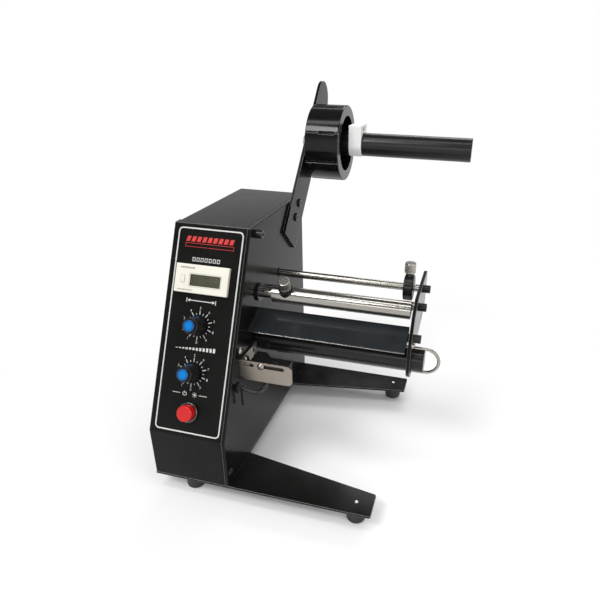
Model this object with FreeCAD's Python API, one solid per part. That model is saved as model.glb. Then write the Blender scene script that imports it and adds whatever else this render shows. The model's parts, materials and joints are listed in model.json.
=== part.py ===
import FreeCAD, Part
import math
import os

from FreeCAD import Vector

# Desktop label dispenser. Millimetres, +X to the right along the rollers, +Y to the back, +Z up.
# What stands on the wall is measured from the top edge of the sloped panel: a value named _back is
# behind that edge, or before it when negative, and one named _drop is below it.
# Places are first worked out from the left side, the front face and a level just below the base
# plate, and then moved so that the origin is the middle of the footprint, on the table.

# Housing
body_width = 69.2
body_depth = 205.0
top_height = 214.0
crease_height = 54.5
slope_degrees = 25.9148
panel_sheet = 1.2
cover_sheet = 1.2
wall_sheet = 3.0
return_depth = 7.5
panel_bend_radius = 1.0
cover_bend_radius = 1.0
cover_flange_depth = 12.0
return_gap = 0.5
wall_edge_radius = 0.4

# Base plate and feet
base_low_z = 7.2
base_sheet = 2.0
foot_height = 15.0
leg_tip_x = 192.7
leg_root_width = 44.3
leg_tip_width = 24.5
leg_corner_radius = 2.0
foot_radius = 8.2
foot_edge_radius = 3.0
foot_recess_radius = 3.4
foot_recess_depth = 6.0
foot_body_x = 31.0
foot_inset_y = 12.2
foot_tip_inset_x = 14.3
foot_screw_radius = 1.5
foot_screw_head_radius = 2.9
foot_screw_head_height = 2.0
foot_screw_proud = 0.8

# Front panel controls, measured from the left side and along the slope, as shares of its length
counter_x = 32.2
counter_drop_share = 0.25883
counter_width = 48.0
counter_height = 24.0
counter_proud = 3.2
counter_edge_radius = 0.8
counter_body_width = 44.6
counter_body_height = 21.6
counter_body_depth = 34.0
counter_window_width = 27.4
counter_window_height = 9.6
counter_window_depth = 1.0
counter_window_shift_x = 3.6
counter_window_shift_y = -1.0
control_x = 33.3
length_drop_share = 0.47312
speed_drop_share = 0.69586
knob_radius = 7.4
knob_top_radius = 6.7
knob_height = 13.4
knob_lift = 1.0
knob_recess_radius = 6.3
knob_recess_depth = 3.4
knob_flute_count = 18
knob_flute_radius = 0.7
knob_flute_share = 0.7
knob_cap_radius = 5.3
knob_cap_height = 3.0
knob_cap_sink = 1.2
pointer_width = 1.1
pointer_height = 0.5
pot_radius = 8.2
pot_depth = 9.0
pot_bush_radius = 3.5
pot_bush_height = 4.4
pot_shaft_radius = 3.0
pot_shaft_height = 12.6
pot_shaft_sink = 5.0
pot_nut_flats = 10.0
pot_nut_height = 2.0
pot_lug_width = 1.6
pot_lug_sheet = 0.6
pot_lug_length = 6.0
pot_lug_pitch = 5.0
button_x = 34.4
button_drop_share = 0.88083
button_radius = 6.8
button_height = 8.6
button_edge_radius = 1.2
button_stem_radius = 4.0
button_sink = 3.0
button_stem_length = 12.0
button_travel = 2.4
bezel_radius = 8.6
bezel_bore_radius = 7.2
bezel_height = 2.4
switch_radius = 7.9
switch_depth = 24.0
switch_bore_depth = 17.0
switch_nut_radius = 10.0
switch_nut_height = 2.5

# Roll arm, core wheel and roller
arm_sheet = 3.0
arm_width = 35.0
arm_straight_length = 168.0
arm_lean_degrees = 42.9
arm_foot_inset = 57.8
arm_foot_drop = 24.7
arm_axle_distance = 114.2
arm_screw_side_share = 0.5
arm_screw_distances = (26.0, 42.0)
arm_screw_radius = 2.0
arm_screw_head_radius = 4.2
arm_screw_head_height = 1.8
arm_screw_socket_flats = 2.5
arm_screw_socket_depth = 1.2
arm_screw_dome_share = 0.6
arm_corner_radius = 1.5
wheel_radius = 37.1
wheel_ring_width = 10.0
wheel_length = 33.8
wheel_arm_gap = 2.0
wheel_web_sheet = 5.0
wheel_hub_radius = 15.5
wheel_hub_length = 24.0
wheel_groove_count = 8
wheel_groove_radius = 1.5
wheel_window_count = 4
wheel_window_length = 17.0
wheel_window_width = 3.6
wheel_window_depth_share = 0.3
wheel_window_corner_share = 0.4
wheel_window_start_degrees = 67.5
wheel_edge_radius = 1.0
wheel_rib_count = 8
wheel_rib_sheet = 2.4
wheel_rib_height = 5.0
roller_radius = 11.4
roller_bore_radius = 8.6
roller_right_x = 234.1
axle_radius = 4.0
axle_collar_radius = 7.0
axle_collar_length = 1.2
axle_nut_flats = 13.0
axle_nut_height = 6.0
axle_tip_gap = 3.0
bush_length = 12.0
bush_flange_length = 2.0
fixator_x = 113.0
fixator_width = 12.7
fixator_wall = 1.4
fixator_head_height = 19.5
fixator_edge_radius = 0.8
fixator_mouth_width = 11.0
fixator_lip_radius = 0.5
fixator_hollow_width = 15.0
fixator_hollow_height = 3.4
fixator_hollow_depth = 9.5

# Rods between the wall and the outer plate
outer_plate_x = 204.5
outer_plate_sheet = 3.0
guide_rod_back = 58.5
guide_rod_drop = 60.6
guide_rod_radius = 3.5
tie_rod_back = 32.9
tie_rod_drop = 67.0
tie_rod_radius = 4.0
guide_bar_back = 8.5
guide_bar_drop = 59.5
guide_bar_radius = 4.5
rod_stud_radius = 2.5
rod_stud_length = 9.0
rod_nut_flats = 8.0
rod_nut_height = 4.0
rod_collar_height = 0.8
rod_collar_lip = 0.8
bar_collar_radius = 8.0
bar_collar_height = 2.0
ring_guide_radius = 12.0
ring_guide_width = 8.7
ring_guide_inset = 14.4
ring_guide_edge_radius = 1.4
ring_boss_radius = 4.1
ring_boss_top_radius = 3.2
ring_boss_height = 1.6
thumb_head_radius = 5.0
thumb_head_height = 9.6
thumb_head_edge_radius = 0.6
thumb_flute_count = 24
thumb_flute_radius = 0.42
thumb_neck_radius = 2.6
thumb_neck_height = 0.5
thumb_shank_radius = 1.5
thumb_tip_gap = 0.3
guide_tube_radius = 7.35
guide_tube_left_x = 83.2
guide_tube_end_gap = 1.3
tube_thumb_x = 95.6
tube_thumb_lean_degrees = 27.0
saddle_radius = 6.3
saddle_height = 1.4

# Peel plate
bed_front_back = -20.2
bed_front_drop = 84.1
bed_rear_back = 6.1
bed_rear_drop = 73.4
bed_sheet = 1.6
bed_edge_sheet = 0.5
bed_bevel_length = 5.0
bed_end_gap = 1.1
bed_flange_height = 12.0
bed_rear_flange_height = 9.0
bed_bend_radius = 1.2
bed_screw_back = 2.3
bed_screw_drop = 81.7
bed_wall_screw_back = -2.0
bed_wall_screw_drop = 82.4

# Outer plate outline
plate_front_back = -7.3
plate_slant_low_drop = 83.0
plate_slant_back = 5.2
plate_slant_drop = 64.0
plate_top_back = 20.8
plate_top_drop = 54.0
plate_back_back = 89.5
plate_back_low_drop = 87.0
plate_heel_back = 78.5
plate_heel_drop = 93.5
plate_corner_radius = 4.0

# Rewind shaft, clip and drive
rewind_back = 5.0
rewind_drop = 103.0
rewind_radius = 10.4
rewind_overhang = 10.4
rewind_journal_radius = 6.0
rewind_left_x = 71.0
rewind_edge_radius = 0.8
clip_wire_radius = 1.4
clip_leg_offset = 11.2
clip_leg_left_x = 86.0
clip_loop_reach = 1.0
clip_groove_clearance = 0.1
grub_x = 80.3
grub_radius = 1.5
grub_head_radius = 2.7
grub_head_height = 2.2
grub_edge_share = 0.3
plate_hole_radius = 13.1
lobe_radius = 15.5
bearing_radius = 8.5
bearing_inner_length = 4.0
bearing_flange_radius = 10.0
bearing_flange_height = 1.5
gear_module = 1.5
gear_addendum_share = 0.92
gear_dedendum_share = 1.25
gear_tooth_count = 32
pinion_tooth_count = 16
gear_x = 51.0
gear_width = 8.0
gear_hub_radius = 10.0
gear_hub_length = 3.0
gear_backlash = 0.16
pressure_degrees = 20.0
gear_hole_count = 5
gear_hole_radius = 3.6
gear_hole_ring_share = 0.64
motor_radius = 17.5
motor_length = 22.0
motor_boss_radius = 6.0
motor_boss_length = 2.0
gearbox_radius = 18.5
gearbox_length = 20.0
motor_shaft_radius = 3.0
motor_bracket_sheet = 2.0
motor_bracket_x = 45.0
motor_bracket_margin = 4.0
motor_bracket_foot = 24.0
motor_can_edge_radius = 1.2

# Control board and power gland
board_x = 14.0
board_sheet = 1.6
board_back = 34.5
board_drop = 12.0
board_back_gap = 9.0
board_height = 50.0
board_hole_inset = 4.0
standoff_radius = 2.6
standoff_screw_radius = 1.4
chip_lifts = (20.0, 16.0, 7.0, 10.0)
chip_length_shares = (0.26, 0.14, 0.19, 0.11)
chip_height_shares = (0.36, 0.24, 0.18, 0.48)
chip_back_shares = (0.1, 0.43, 0.43, 0.78)
chip_rise_shares = (0.16, 0.2, 0.64, 0.28)
gland_x = 35.0
gland_z = 34.0
gland_radius = 8.0
gland_flange_height = 2.5
gland_nose_radius = 6.0
gland_nose_height = 9.0
gland_bore_radius = 3.5
gland_inside_length = 8.0
gland_flats = 12.0

# Sensor on its bracket
bracket_sheet = 1.5
bracket_front_back = -39.7
bracket_low_drop = 119.3
bracket_high_drop = 100.8
bracket_right_x = 115.3
bracket_corner_radius = 4.0
bracket_flange_back = -5.5
bracket_flange_step = 3.2
bracket_toe_back = -17.9
bracket_toe_drop = 114.0
bracket_slot_drop = 104.4
bracket_slot_width = 3.4
bracket_slot_a = (72.6, 82.0)
bracket_slot_b = (86.0, 108.6)
bracket_screw_back = -29.0
bracket_screw_drop = 106.8
bracket_hole_back = -13.0
bracket_hole_drop = 106.6
bracket_hole_radius = 2.2
sensor_left_x = 78.0
sensor_right_x = 112.0
sensor_depth = 9.8
sensor_wide_x = 86.5
sensor_wide_depth = 17.0
sensor_low_drop = 116.0
sensor_high_drop = 101.2
sensor_gap = 0.1
sensor_edge_radius = 0.8
sensor_eye_radius = 2.2
sensor_eye_height = 1.0
sensor_eye_share = 0.64
sensor_gland_radius = 3.2
sensor_gland_height = 3.0
sensor_screw_x = 88.3
small_screw_radius = 1.5
small_screw_head_radius = 3.1
small_screw_head_height = 2.2
big_screw_radius = 2.0
big_screw_head_radius = 4.0
big_screw_head_height = 2.8
wall_screw_back = -35.6
wall_screw_drop = 94.4
panel_screw_y = 5.4
panel_screw_z = 21.0
plate_screw_back = 1.7
plate_screw_drop = 88.6

# Sensor cable, its grommet and its tie
cable_radius = 1.85
cable_turns = (
    (72.0, -44.3, 125.4),
    (76.8, -44.3, 126.2),
    (81.9, -42.9, 128.4),
    (85.8, -38.8, 130.5),
    (88.4, -34.3, 128.6),
    (90.0, -31.5, 124.0),
    (90.0, -31.5, 119.0),
)
grommet_radius = 4.6
grommet_height = 2.2
grommet_inside = 2.6
tie_x = 73.3
tie_ring_radius = 2.9
tie_width = 2.0
tie_tail_length = 15.0
tie_tail_sheet = 1.1

# Black cap screws
wall_cap_screw_back = 8.5
wall_cap_screw_drop = 6.6
cap_screw_radius = 2.0
cap_screw_head_radius = 3.6
cap_screw_head_height = 6.4
cap_screw_socket_flats = 3.0
cap_screw_socket_depth = 3.0
cap_screw_length = 9.0

# Cross recesses of the domed screws
cross_arm_share = 0.55
cross_width_share = 0.12
cross_floor_share = 0.45

# Drawing aids
arc_reach_share = 0.45
parallel_share = 0.999999

# Fits
fit_clearance = 0.05
overrun = 2.0

# Worked out from the values above
base_top_z = base_low_z + base_sheet
foot_low_z = base_low_z - foot_height
wall_face_x = body_width
wall_inner_x = wall_face_x - wall_sheet
slope_sine = math.sin(math.radians(slope_degrees))
slope_cosine = math.cos(math.radians(slope_degrees))
panel_length = (top_height - crease_height) / slope_cosine
top_front_y = panel_length * slope_sine
counter_drop = panel_length * counter_drop_share
length_drop = panel_length * length_drop_share
speed_drop = panel_length * speed_drop_share
button_drop = panel_length * button_drop_share
guide_rod_y = top_front_y + guide_rod_back
tie_rod_y = top_front_y + tie_rod_back
guide_bar_y = top_front_y + guide_bar_back
bed_front_y = top_front_y + bed_front_back
bed_rear_y = top_front_y + bed_rear_back
bed_screw_y = top_front_y + bed_screw_back
bed_wall_screw_y = top_front_y + bed_wall_screw_back
plate_front_y = top_front_y + plate_front_back
plate_slant_y = top_front_y + plate_slant_back
plate_top_y = top_front_y + plate_top_back
plate_back_y = top_front_y + plate_back_back
plate_heel_y = top_front_y + plate_heel_back
rewind_y = top_front_y + rewind_back
bracket_front_y = top_front_y + bracket_front_back
bracket_flange_y = top_front_y + bracket_flange_back
bracket_toe_y = top_front_y + bracket_toe_back
bracket_screw_y = top_front_y + bracket_screw_back
bracket_hole_y = top_front_y + bracket_hole_back
wall_screw_y = top_front_y + wall_screw_back
plate_screw_y = top_front_y + plate_screw_back
wall_cap_screw_y = top_front_y + wall_cap_screw_back
board_y = top_front_y + board_back
guide_rod_z = top_height - guide_rod_drop
tie_rod_z = top_height - tie_rod_drop
guide_bar_z = top_height - guide_bar_drop
bed_front_z = top_height - bed_front_drop
bed_rear_z = top_height - bed_rear_drop
bed_screw_z = top_height - bed_screw_drop
bed_wall_screw_z = top_height - bed_wall_screw_drop
plate_slant_low_z = top_height - plate_slant_low_drop
plate_slant_z = top_height - plate_slant_drop
plate_top_z = top_height - plate_top_drop
plate_back_low_z = top_height - plate_back_low_drop
plate_heel_z = top_height - plate_heel_drop
rewind_z = top_height - rewind_drop
bracket_low_z = top_height - bracket_low_drop
bracket_high_z = top_height - bracket_high_drop
bracket_toe_z = top_height - bracket_toe_drop
bracket_slot_z = top_height - bracket_slot_drop
bracket_screw_z = top_height - bracket_screw_drop
bracket_hole_z = top_height - bracket_hole_drop
sensor_low_z = top_height - sensor_low_drop
sensor_high_z = top_height - sensor_high_drop
wall_screw_z = top_height - wall_screw_drop
plate_screw_z = top_height - plate_screw_drop
wall_cap_screw_z = top_height - wall_cap_screw_drop
arm_foot_z = top_height - arm_foot_drop
arm_foot_y = body_depth - arm_foot_inset
board_length = body_depth - board_back_gap - board_y
board_z = top_height - board_drop - board_height
cable_points = [(x, top_front_y + back, top_height - drop) for x, back, drop in cable_turns]
panel_turn_degrees = 90 - slope_degrees
arm_face_x = wall_face_x + arm_sheet
wheel_left_x = arm_face_x + wheel_arm_gap
wheel_right_x = wheel_left_x + wheel_length
outer_face_x = outer_plate_x + outer_plate_sheet
ring_guide_x = outer_plate_x - ring_guide_inset
guide_tube_right_x = outer_plate_x - guide_tube_end_gap
bed_right_x = outer_plate_x - bed_end_gap
rewind_right_x = outer_face_x + rewind_overhang
clip_loop_x = rewind_right_x + clip_loop_reach
arm_along = Vector(0, math.sin(math.radians(arm_lean_degrees)), math.cos(math.radians(arm_lean_degrees)))
arm_across = Vector(0, math.cos(math.radians(arm_lean_degrees)), -math.sin(math.radians(arm_lean_degrees)))
arm_foot = Vector(wall_face_x, arm_foot_y, arm_foot_z)
axle_point = arm_foot + arm_along * arm_axle_distance + arm_across * (arm_width / 2)
arm_round_centre = arm_foot + arm_along * arm_straight_length + arm_across * (arm_width / 2)
axle_y = axle_point.y
axle_z = axle_point.z
gear_distance = gear_module * (gear_tooth_count + pinion_tooth_count) / 2
pinion_y = rewind_y + gear_distance
pinion_z = rewind_z
gearbox_face_x = motor_bracket_x
bed_degrees = math.degrees(math.atan2(bed_rear_z - bed_front_z, bed_rear_y - bed_front_y))
origin_x = roller_right_x / 2
front_y = (top_front_y - (button_drop + button_radius - button_edge_radius) * slope_sine
           - (button_height - button_edge_radius) * slope_cosine - button_edge_radius)
origin_y = (front_y + arm_round_centre.y + arm_width / 2) / 2
origin_z = foot_low_z


# Shapes that many pieces use

def box(x0, y0, z0, x1, y1, z1):
    return Part.makeBox(x1 - x0, y1 - y0, z1 - z0, Vector(x0, y0, z0))


def rod_x(x0, x1, y, z, radius):
    return Part.makeCylinder(radius, x1 - x0, Vector(x0, y, z), Vector(1, 0, 0))


def rod_z(z0, z1, x, y, radius):
    return Part.makeCylinder(radius, z1 - z0, Vector(x, y, z0), Vector(0, 0, 1))


def tube_x(x0, x1, y, z, outer_radius, inner_radius):
    outer = rod_x(x0, x1, y, z, outer_radius)
    return outer.cut(rod_x(x0 - overrun, x1 + overrun, y, z, inner_radius))


def prism_x(x0, x1, points):
    corners = [Vector(x0, y, z) for y, z in points]
    face = Part.Face(Part.makePolygon(corners + corners[:1]))
    return face.extrude(Vector(x1 - x0, 0, 0))


def prism_z(z0, z1, points):
    corners = [Vector(x, y, z0) for x, y in points]
    face = Part.Face(Part.makePolygon(corners + corners[:1]))
    return face.extrude(Vector(0, 0, z1 - z0))


def prism_y(y0, y1, points):
    corners = [Vector(x, y0, z) for x, z in points]
    face = Part.Face(Part.makePolygon(corners + corners[:1]))
    return face.extrude(Vector(0, y1 - y0, 0))


def hexagon_prism(flats, height):
    corner = flats / math.sqrt(3)
    angles = [math.radians(60 * i) for i in range(6)]
    points = [(corner * math.cos(angle), corner * math.sin(angle)) for angle in angles]
    return prism_z(0, height, points)


def edges_along(shape, direction, keep=None):
    found = []
    for edge in shape.Edges:
        if not isinstance(edge.Curve, (Part.Line, Part.LineSegment)):
            continue
        if abs(edge.tangentAt(edge.FirstParameter).dot(direction)) < parallel_share:
            continue
        if keep is None or keep(edge.CenterOfMass):
            found.append(edge)
    return found


def rim_edges(shape, keep):
    found = []
    for edge in shape.Edges:
        if isinstance(edge.Curve, Part.Circle) and keep(edge):
            found.append(edge)
    return found


def place(shape, point, axis, degrees):
    result = shape.copy()
    result.Placement = FreeCAD.Placement(point, FreeCAD.Rotation(axis, degrees)).multiply(result.Placement)
    return result


def along(shape, point, direction):
    # Turns a shape built up +Z so that it stands at the point along the direction.
    result = shape.copy()
    turn = FreeCAD.Rotation(Vector(0, 0, 1), direction)
    result.Placement = FreeCAD.Placement(point, turn).multiply(result.Placement)
    return result


def panel_point(x, drop, lift=0):
    slope = math.radians(slope_degrees)
    y = top_front_y - drop * math.sin(slope) - lift * math.cos(slope)
    z = top_height - drop * math.cos(slope) + lift * math.sin(slope)
    return Vector(x, y, z)


def on_panel(shape, x, drop):
    # The shape's own +Z points out of the panel and its +Y points up the slope.
    return place(shape, panel_point(x, drop), Vector(1, 0, 0), panel_turn_degrees)


def side_profile(front_inset, top_inset, back_inset, low_z):
    slope = math.radians(slope_degrees)
    crease_z = crease_height - front_inset * math.tan(slope / 2)
    high_z = top_height - top_inset
    top_y = front_inset + (high_z - crease_z) * math.tan(slope)
    back_y = body_depth - back_inset
    return [(front_inset, low_z), (front_inset, crease_z), (top_y, high_z), (back_y, high_z),
            (back_y, low_z)]


def slope_y(inset, z):
    # Depth of the sloped front, moved inwards by the inset, at a height.
    slope = math.radians(slope_degrees)
    return inset + (z - crease_height + inset * math.tan(slope / 2)) * math.tan(slope)


def cap_screw(length):
    # Head from 0 up, shank down; a hexagon socket in the head.
    head = Part.makeCylinder(cap_screw_head_radius, cap_screw_head_height)
    socket = hexagon_prism(cap_screw_socket_flats, cap_screw_socket_depth + overrun)
    socket.translate(Vector(0, 0, cap_screw_head_height - cap_screw_socket_depth))
    shank = Part.makeCylinder(cap_screw_radius - fit_clearance, length, Vector(0, 0, -length))
    return head.cut(socket).fuse(shank).removeSplitter()


def pan_screw(radius, length, head_radius, head_height):
    # Domed head with a cross recess above 0, shank below.
    ball_radius = (head_radius ** 2 + head_height ** 2) / (2 * head_height)
    ball = Part.makeSphere(ball_radius, Vector(0, 0, head_height - ball_radius))
    head = Part.makeCylinder(head_radius, head_height).common(ball)
    arm = head_radius * cross_arm_share
    half = head_radius * cross_width_share
    recess_z = head_height * cross_floor_share
    cross = box(-arm, -half, recess_z, arm, half, head_height + overrun)
    cross = cross.fuse(box(-half, -arm, recess_z, half, arm, head_height + overrun))
    shank = Part.makeCylinder(radius - fit_clearance, length, Vector(0, 0, -length))
    return head.cut(cross).fuse(shank).removeSplitter()


def knurled_head(radius, height, flute_count, flute_radius, edge_radius):
    head = Part.makeCylinder(radius, height)
    head = head.makeFillet(edge_radius, rim_edges(head, lambda edge: True))
    flute = Part.makeCylinder(flute_radius, height - 4 * edge_radius, Vector(radius, 0, 2 * edge_radius))
    flutes = []
    for i in range(flute_count):
        flutes.append(place(flute, Vector(0, 0, 0), Vector(0, 0, 1), 360 * i / flute_count))
    return head.cut(Part.makeCompound(flutes))


# Base

def foot_places():
    tip_x = leg_tip_x - foot_tip_inset_x
    front_y = foot_inset_y
    back_y = body_depth - foot_inset_y
    return [(foot_body_x, front_y), (tip_x, front_y), (foot_body_x, back_y), (tip_x, back_y)]


def base_plate():
    outline = [
        (0, 0), (leg_tip_x, 0), (leg_tip_x, leg_tip_width), (body_width, leg_root_width),
        (body_width, body_depth - leg_root_width), (leg_tip_x, body_depth - leg_tip_width),
        (leg_tip_x, body_depth), (0, body_depth),
    ]
    plate = prism_z(base_low_z, base_top_z, outline)
    tips = edges_along(plate, Vector(0, 0, 1), lambda c: c.x > leg_tip_x - fit_clearance)
    plate = plate.makeFillet(leg_corner_radius, tips)
    for x, y in foot_places():
        hole = rod_z(base_low_z - overrun, base_top_z + overrun, x, y, foot_screw_radius)
        plate = plate.cut(hole)
    return plate


def rubber_feet():
    feet = []
    for x, y in foot_places():
        foot = rod_z(foot_low_z, base_low_z, x, y, foot_radius)
        low = rim_edges(foot, lambda edge: edge.Curve.Center.z < foot_low_z + fit_clearance)
        foot = foot.makeFillet(foot_edge_radius, low)
        foot = foot.cut(rod_z(foot_low_z - overrun, foot_low_z + foot_recess_depth, x, y,
                              foot_recess_radius))
        foot = foot.cut(rod_z(foot_low_z, base_low_z + overrun, x, y, foot_screw_radius))
        feet.append(foot)
    return Part.makeCompound(feet)


def foot_screws():
    screws = []
    for x, y in foot_places():
        seat_z = foot_low_z + foot_recess_depth
        length = base_top_z + foot_screw_proud - seat_z
        screw = pan_screw(foot_screw_radius, length, foot_screw_head_radius, foot_screw_head_height)
        screws.append(place(screw, Vector(x, y, seat_z), Vector(1, 0, 0), 180))
    return Part.makeCompound(screws)


# Housing

def frame_wall():
    wall = prism_x(wall_inner_x, wall_face_x, side_profile(0, 0, 0, base_top_z))
    rim = [edge for edge in wall.Edges if edge.CenterOfMass.x > wall_face_x - fit_clearance]
    rim = [edge for edge in rim if edge.CenterOfMass.z > base_top_z + fit_clearance]
    wall = wall.makeFillet(wall_edge_radius, rim)
    low_x = wall_inner_x - overrun
    high_x = wall_face_x + overrun
    for y, z in ((guide_rod_y, guide_rod_z), (tie_rod_y, tie_rod_z), (guide_bar_y, guide_bar_z)):
        wall = wall.cut(rod_x(low_x, high_x, y, z, rod_stud_radius + fit_clearance))
    wall = wall.cut(rod_x(low_x, high_x, rewind_y, rewind_z, bearing_radius))
    wall = wall.cut(rod_x(low_x, high_x, cable_points[0][1], cable_points[0][2],
                          grommet_radius - panel_sheet))
    for y, z in ((wall_screw_y, wall_screw_z), (panel_screw_y, panel_screw_z)):
        wall = wall.cut(rod_x(low_x, high_x, y, z, small_screw_radius))
    wall = wall.cut(rod_x(low_x, high_x, bracket_screw_y, bracket_screw_z, big_screw_radius))
    wall = wall.cut(rod_x(low_x, high_x, wall_cap_screw_y, wall_cap_screw_z, cap_screw_radius))
    for point in arm_screw_points():
        wall = wall.cut(rod_x(low_x, high_x, point.y, point.z, arm_screw_radius))
    return wall.cut(rod_x(low_x, high_x, bed_wall_screw_y, bed_wall_screw_z, small_screw_radius))


def cover():
    # Left side, top and back in one sheet, with a flange along the wall to screw it to.
    outer = prism_x(panel_sheet, wall_inner_x, side_profile(panel_sheet, 0, 0, base_top_z))
    bends = edges_along(outer, Vector(0, 1, 0), lambda c: c.z > crease_height)
    outer = outer.makeFillet(cover_bend_radius, bends)
    inner_profile = side_profile(panel_sheet, cover_sheet, cover_sheet, base_top_z)
    flange_x = wall_inner_x - cover_sheet
    shell = outer.cut(prism_x(panel_sheet + cover_sheet, flange_x, inner_profile))
    middle = side_profile(panel_sheet, cover_flange_depth, cover_flange_depth, base_top_z)
    shell = shell.cut(prism_x(flange_x - overrun, wall_inner_x + overrun, middle))
    front = prism_x(flange_x - overrun, wall_inner_x + overrun, inner_profile)
    behind = side_profile(return_depth + return_gap, -overrun, -overrun, base_top_z - overrun)
    shell = shell.cut(front.cut(prism_x(flange_x - 2 * overrun, wall_inner_x + 2 * overrun, behind)))
    hole = rod_x(flange_x - overrun, wall_inner_x + overrun, wall_cap_screw_y, wall_cap_screw_z,
                 cap_screw_radius)
    shell = shell.cut(hole)
    low = Vector(gland_x, body_depth - overrun, gland_z)
    return shell.cut(Part.makeCylinder(gland_nose_radius, 2 * overrun, low, Vector(0, 1, 0)))


def front_panel():
    outer = prism_x(0, wall_inner_x, side_profile(0, 0, 0, base_top_z))
    bends = edges_along(outer, Vector(0, slope_sine, slope_cosine))
    bends += edges_along(outer, Vector(0, 0, 1), lambda c: c.y < overrun)
    outer = outer.makeFillet(panel_bend_radius, bends)
    behind = side_profile(return_depth, -overrun, -overrun, base_top_z - overrun)
    shell = outer.cut(prism_x(-overrun, body_width + overrun, behind))
    inside = side_profile(panel_sheet, -overrun, -overrun, base_top_z - overrun)
    shell = shell.cut(prism_x(panel_sheet, wall_inner_x - panel_sheet, inside))
    low_z = top_height - cover_sheet
    shell = shell.cut(box(panel_sheet, slope_y(panel_sheet, low_z), low_z, body_width + overrun,
                          body_depth, top_height + overrun))
    sink = 4 * panel_sheet
    opening = box(-counter_body_width / 2, -counter_body_height / 2, -sink, counter_body_width / 2,
                  counter_body_height / 2, overrun)
    shell = shell.cut(on_panel(opening, counter_x, counter_drop))
    for drop in (length_drop, speed_drop):
        hole = Part.makeCylinder(pot_bush_radius + fit_clearance, sink + overrun, Vector(0, 0, -sink))
        shell = shell.cut(on_panel(hole, control_x, drop))
    hole = Part.makeCylinder(switch_radius + fit_clearance, sink + overrun, Vector(0, 0, -sink))
    shell = shell.cut(on_panel(hole, button_x, button_drop))
    return shell.cut(rod_x(wall_inner_x - 2 * overrun, wall_inner_x + overrun, panel_screw_y, panel_screw_z,
                           small_screw_radius))


# Panel controls

def counter_bezel():
    half_w = counter_width / 2
    half_h = counter_height / 2
    frame = box(-half_w, -half_h, 0, half_w, half_h, counter_proud)
    front = [edge for edge in frame.Edges if edge.CenterOfMass.z > counter_proud / 3]
    frame = frame.makeFillet(counter_edge_radius, front)
    frame = frame.cut(counter_window_block(counter_proud - counter_window_depth, counter_proud + overrun, 0))
    return on_panel(frame, counter_x, counter_drop)


def counter_window_block(low, high, gap):
    half_w = counter_window_width / 2 - gap
    half_h = counter_window_height / 2 - gap
    x = counter_window_shift_x
    y = counter_window_shift_y
    return box(x - half_w, y - half_h, low, x + half_w, y + half_h, high)


def counter_window():
    low = counter_proud - counter_window_depth
    high = counter_proud - counter_window_depth / 3
    return on_panel(counter_window_block(low, high, fit_clearance), counter_x, counter_drop)


def counter_body():
    half_w = counter_body_width / 2 - fit_clearance
    half_h = counter_body_height / 2 - fit_clearance
    block = box(-half_w, -half_h, -counter_body_depth, half_w, half_h, 0)
    back_edges = edges_along(block, Vector(0, 0, 1))
    block = block.makeFillet(counter_edge_radius, back_edges)
    return on_panel(block, counter_x, counter_drop)


def knob(drop):
    body = Part.makeCone(knob_radius, knob_top_radius, knob_height, Vector(0, 0, knob_lift))
    top = rim_edges(body, lambda edge: edge.Curve.Center.z > knob_height)
    body = body.makeFillet(knob_flute_radius, top)
    flute = Part.makeCylinder(knob_flute_radius, knob_height * knob_flute_share,
                              Vector(knob_radius, 0, knob_lift / 2))
    flutes = []
    for i in range(knob_flute_count):
        flutes.append(place(flute, Vector(0, 0, 0), Vector(0, 0, 1), 360 * i / knob_flute_count))
    body = body.cut(Part.makeCompound(flutes))
    body = body.cut(Part.makeCylinder(knob_recess_radius, knob_recess_depth, Vector(0, 0, knob_lift)))
    body = body.cut(Part.makeCylinder(pot_shaft_radius + fit_clearance, pot_shaft_height))
    seat_z = knob_lift + knob_height - knob_cap_sink
    body = body.cut(Part.makeCylinder(knob_cap_radius + fit_clearance, knob_cap_sink + overrun,
                                      Vector(0, 0, seat_z)))
    half = pointer_width / 2 + fit_clearance
    slot_z = knob_lift + knob_height - pointer_height
    body = body.cut(box(-half, 0, slot_z, half, knob_radius + overrun, knob_lift + knob_height + overrun))
    return on_panel(body, control_x, drop)


def knob_cap(drop):
    seat_z = knob_lift + knob_height - knob_cap_sink
    cap = Part.makeCylinder(knob_cap_radius, knob_cap_height, Vector(0, 0, seat_z))
    top = rim_edges(cap, lambda edge: edge.Curve.Center.z > seat_z + knob_cap_height / 2)
    cap = cap.makeFillet(knob_cap_height / 3, top)
    low = knob_lift + knob_height - pointer_height
    half = pointer_width / 2
    pointer = box(-half, 0, low, half, knob_top_radius, low + 2 * pointer_height)
    return on_panel(cap.fuse(pointer).removeSplitter(), control_x, drop)


def potentiometer(drop):
    body = Part.makeCylinder(pot_radius, pot_depth, Vector(0, 0, -panel_sheet - pot_depth))
    bush = Part.makeCylinder(pot_bush_radius, pot_bush_height + panel_sheet, Vector(0, 0, -panel_sheet))
    body = body.fuse(bush)
    lug_z = -panel_sheet - pot_depth / 2
    for i in (-1, 0, 1):
        x = i * pot_lug_pitch
        lug = box(x - pot_lug_width / 2, -pot_radius - pot_lug_length, lug_z, x + pot_lug_width / 2,
                  -pot_radius / 2, lug_z + pot_lug_sheet)
        body = body.fuse(lug)
    bore = Part.makeCylinder(pot_shaft_radius + fit_clearance, pot_bush_height + pot_shaft_sink + overrun,
                             Vector(0, 0, -pot_shaft_sink))
    return on_panel(body.cut(bore).removeSplitter(), control_x, drop)


def pot_shaft(drop):
    shaft = Part.makeCylinder(pot_shaft_radius, pot_shaft_height + pot_shaft_sink - fit_clearance,
                              Vector(0, 0, -pot_shaft_sink))
    return on_panel(shaft, control_x, drop)


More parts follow.
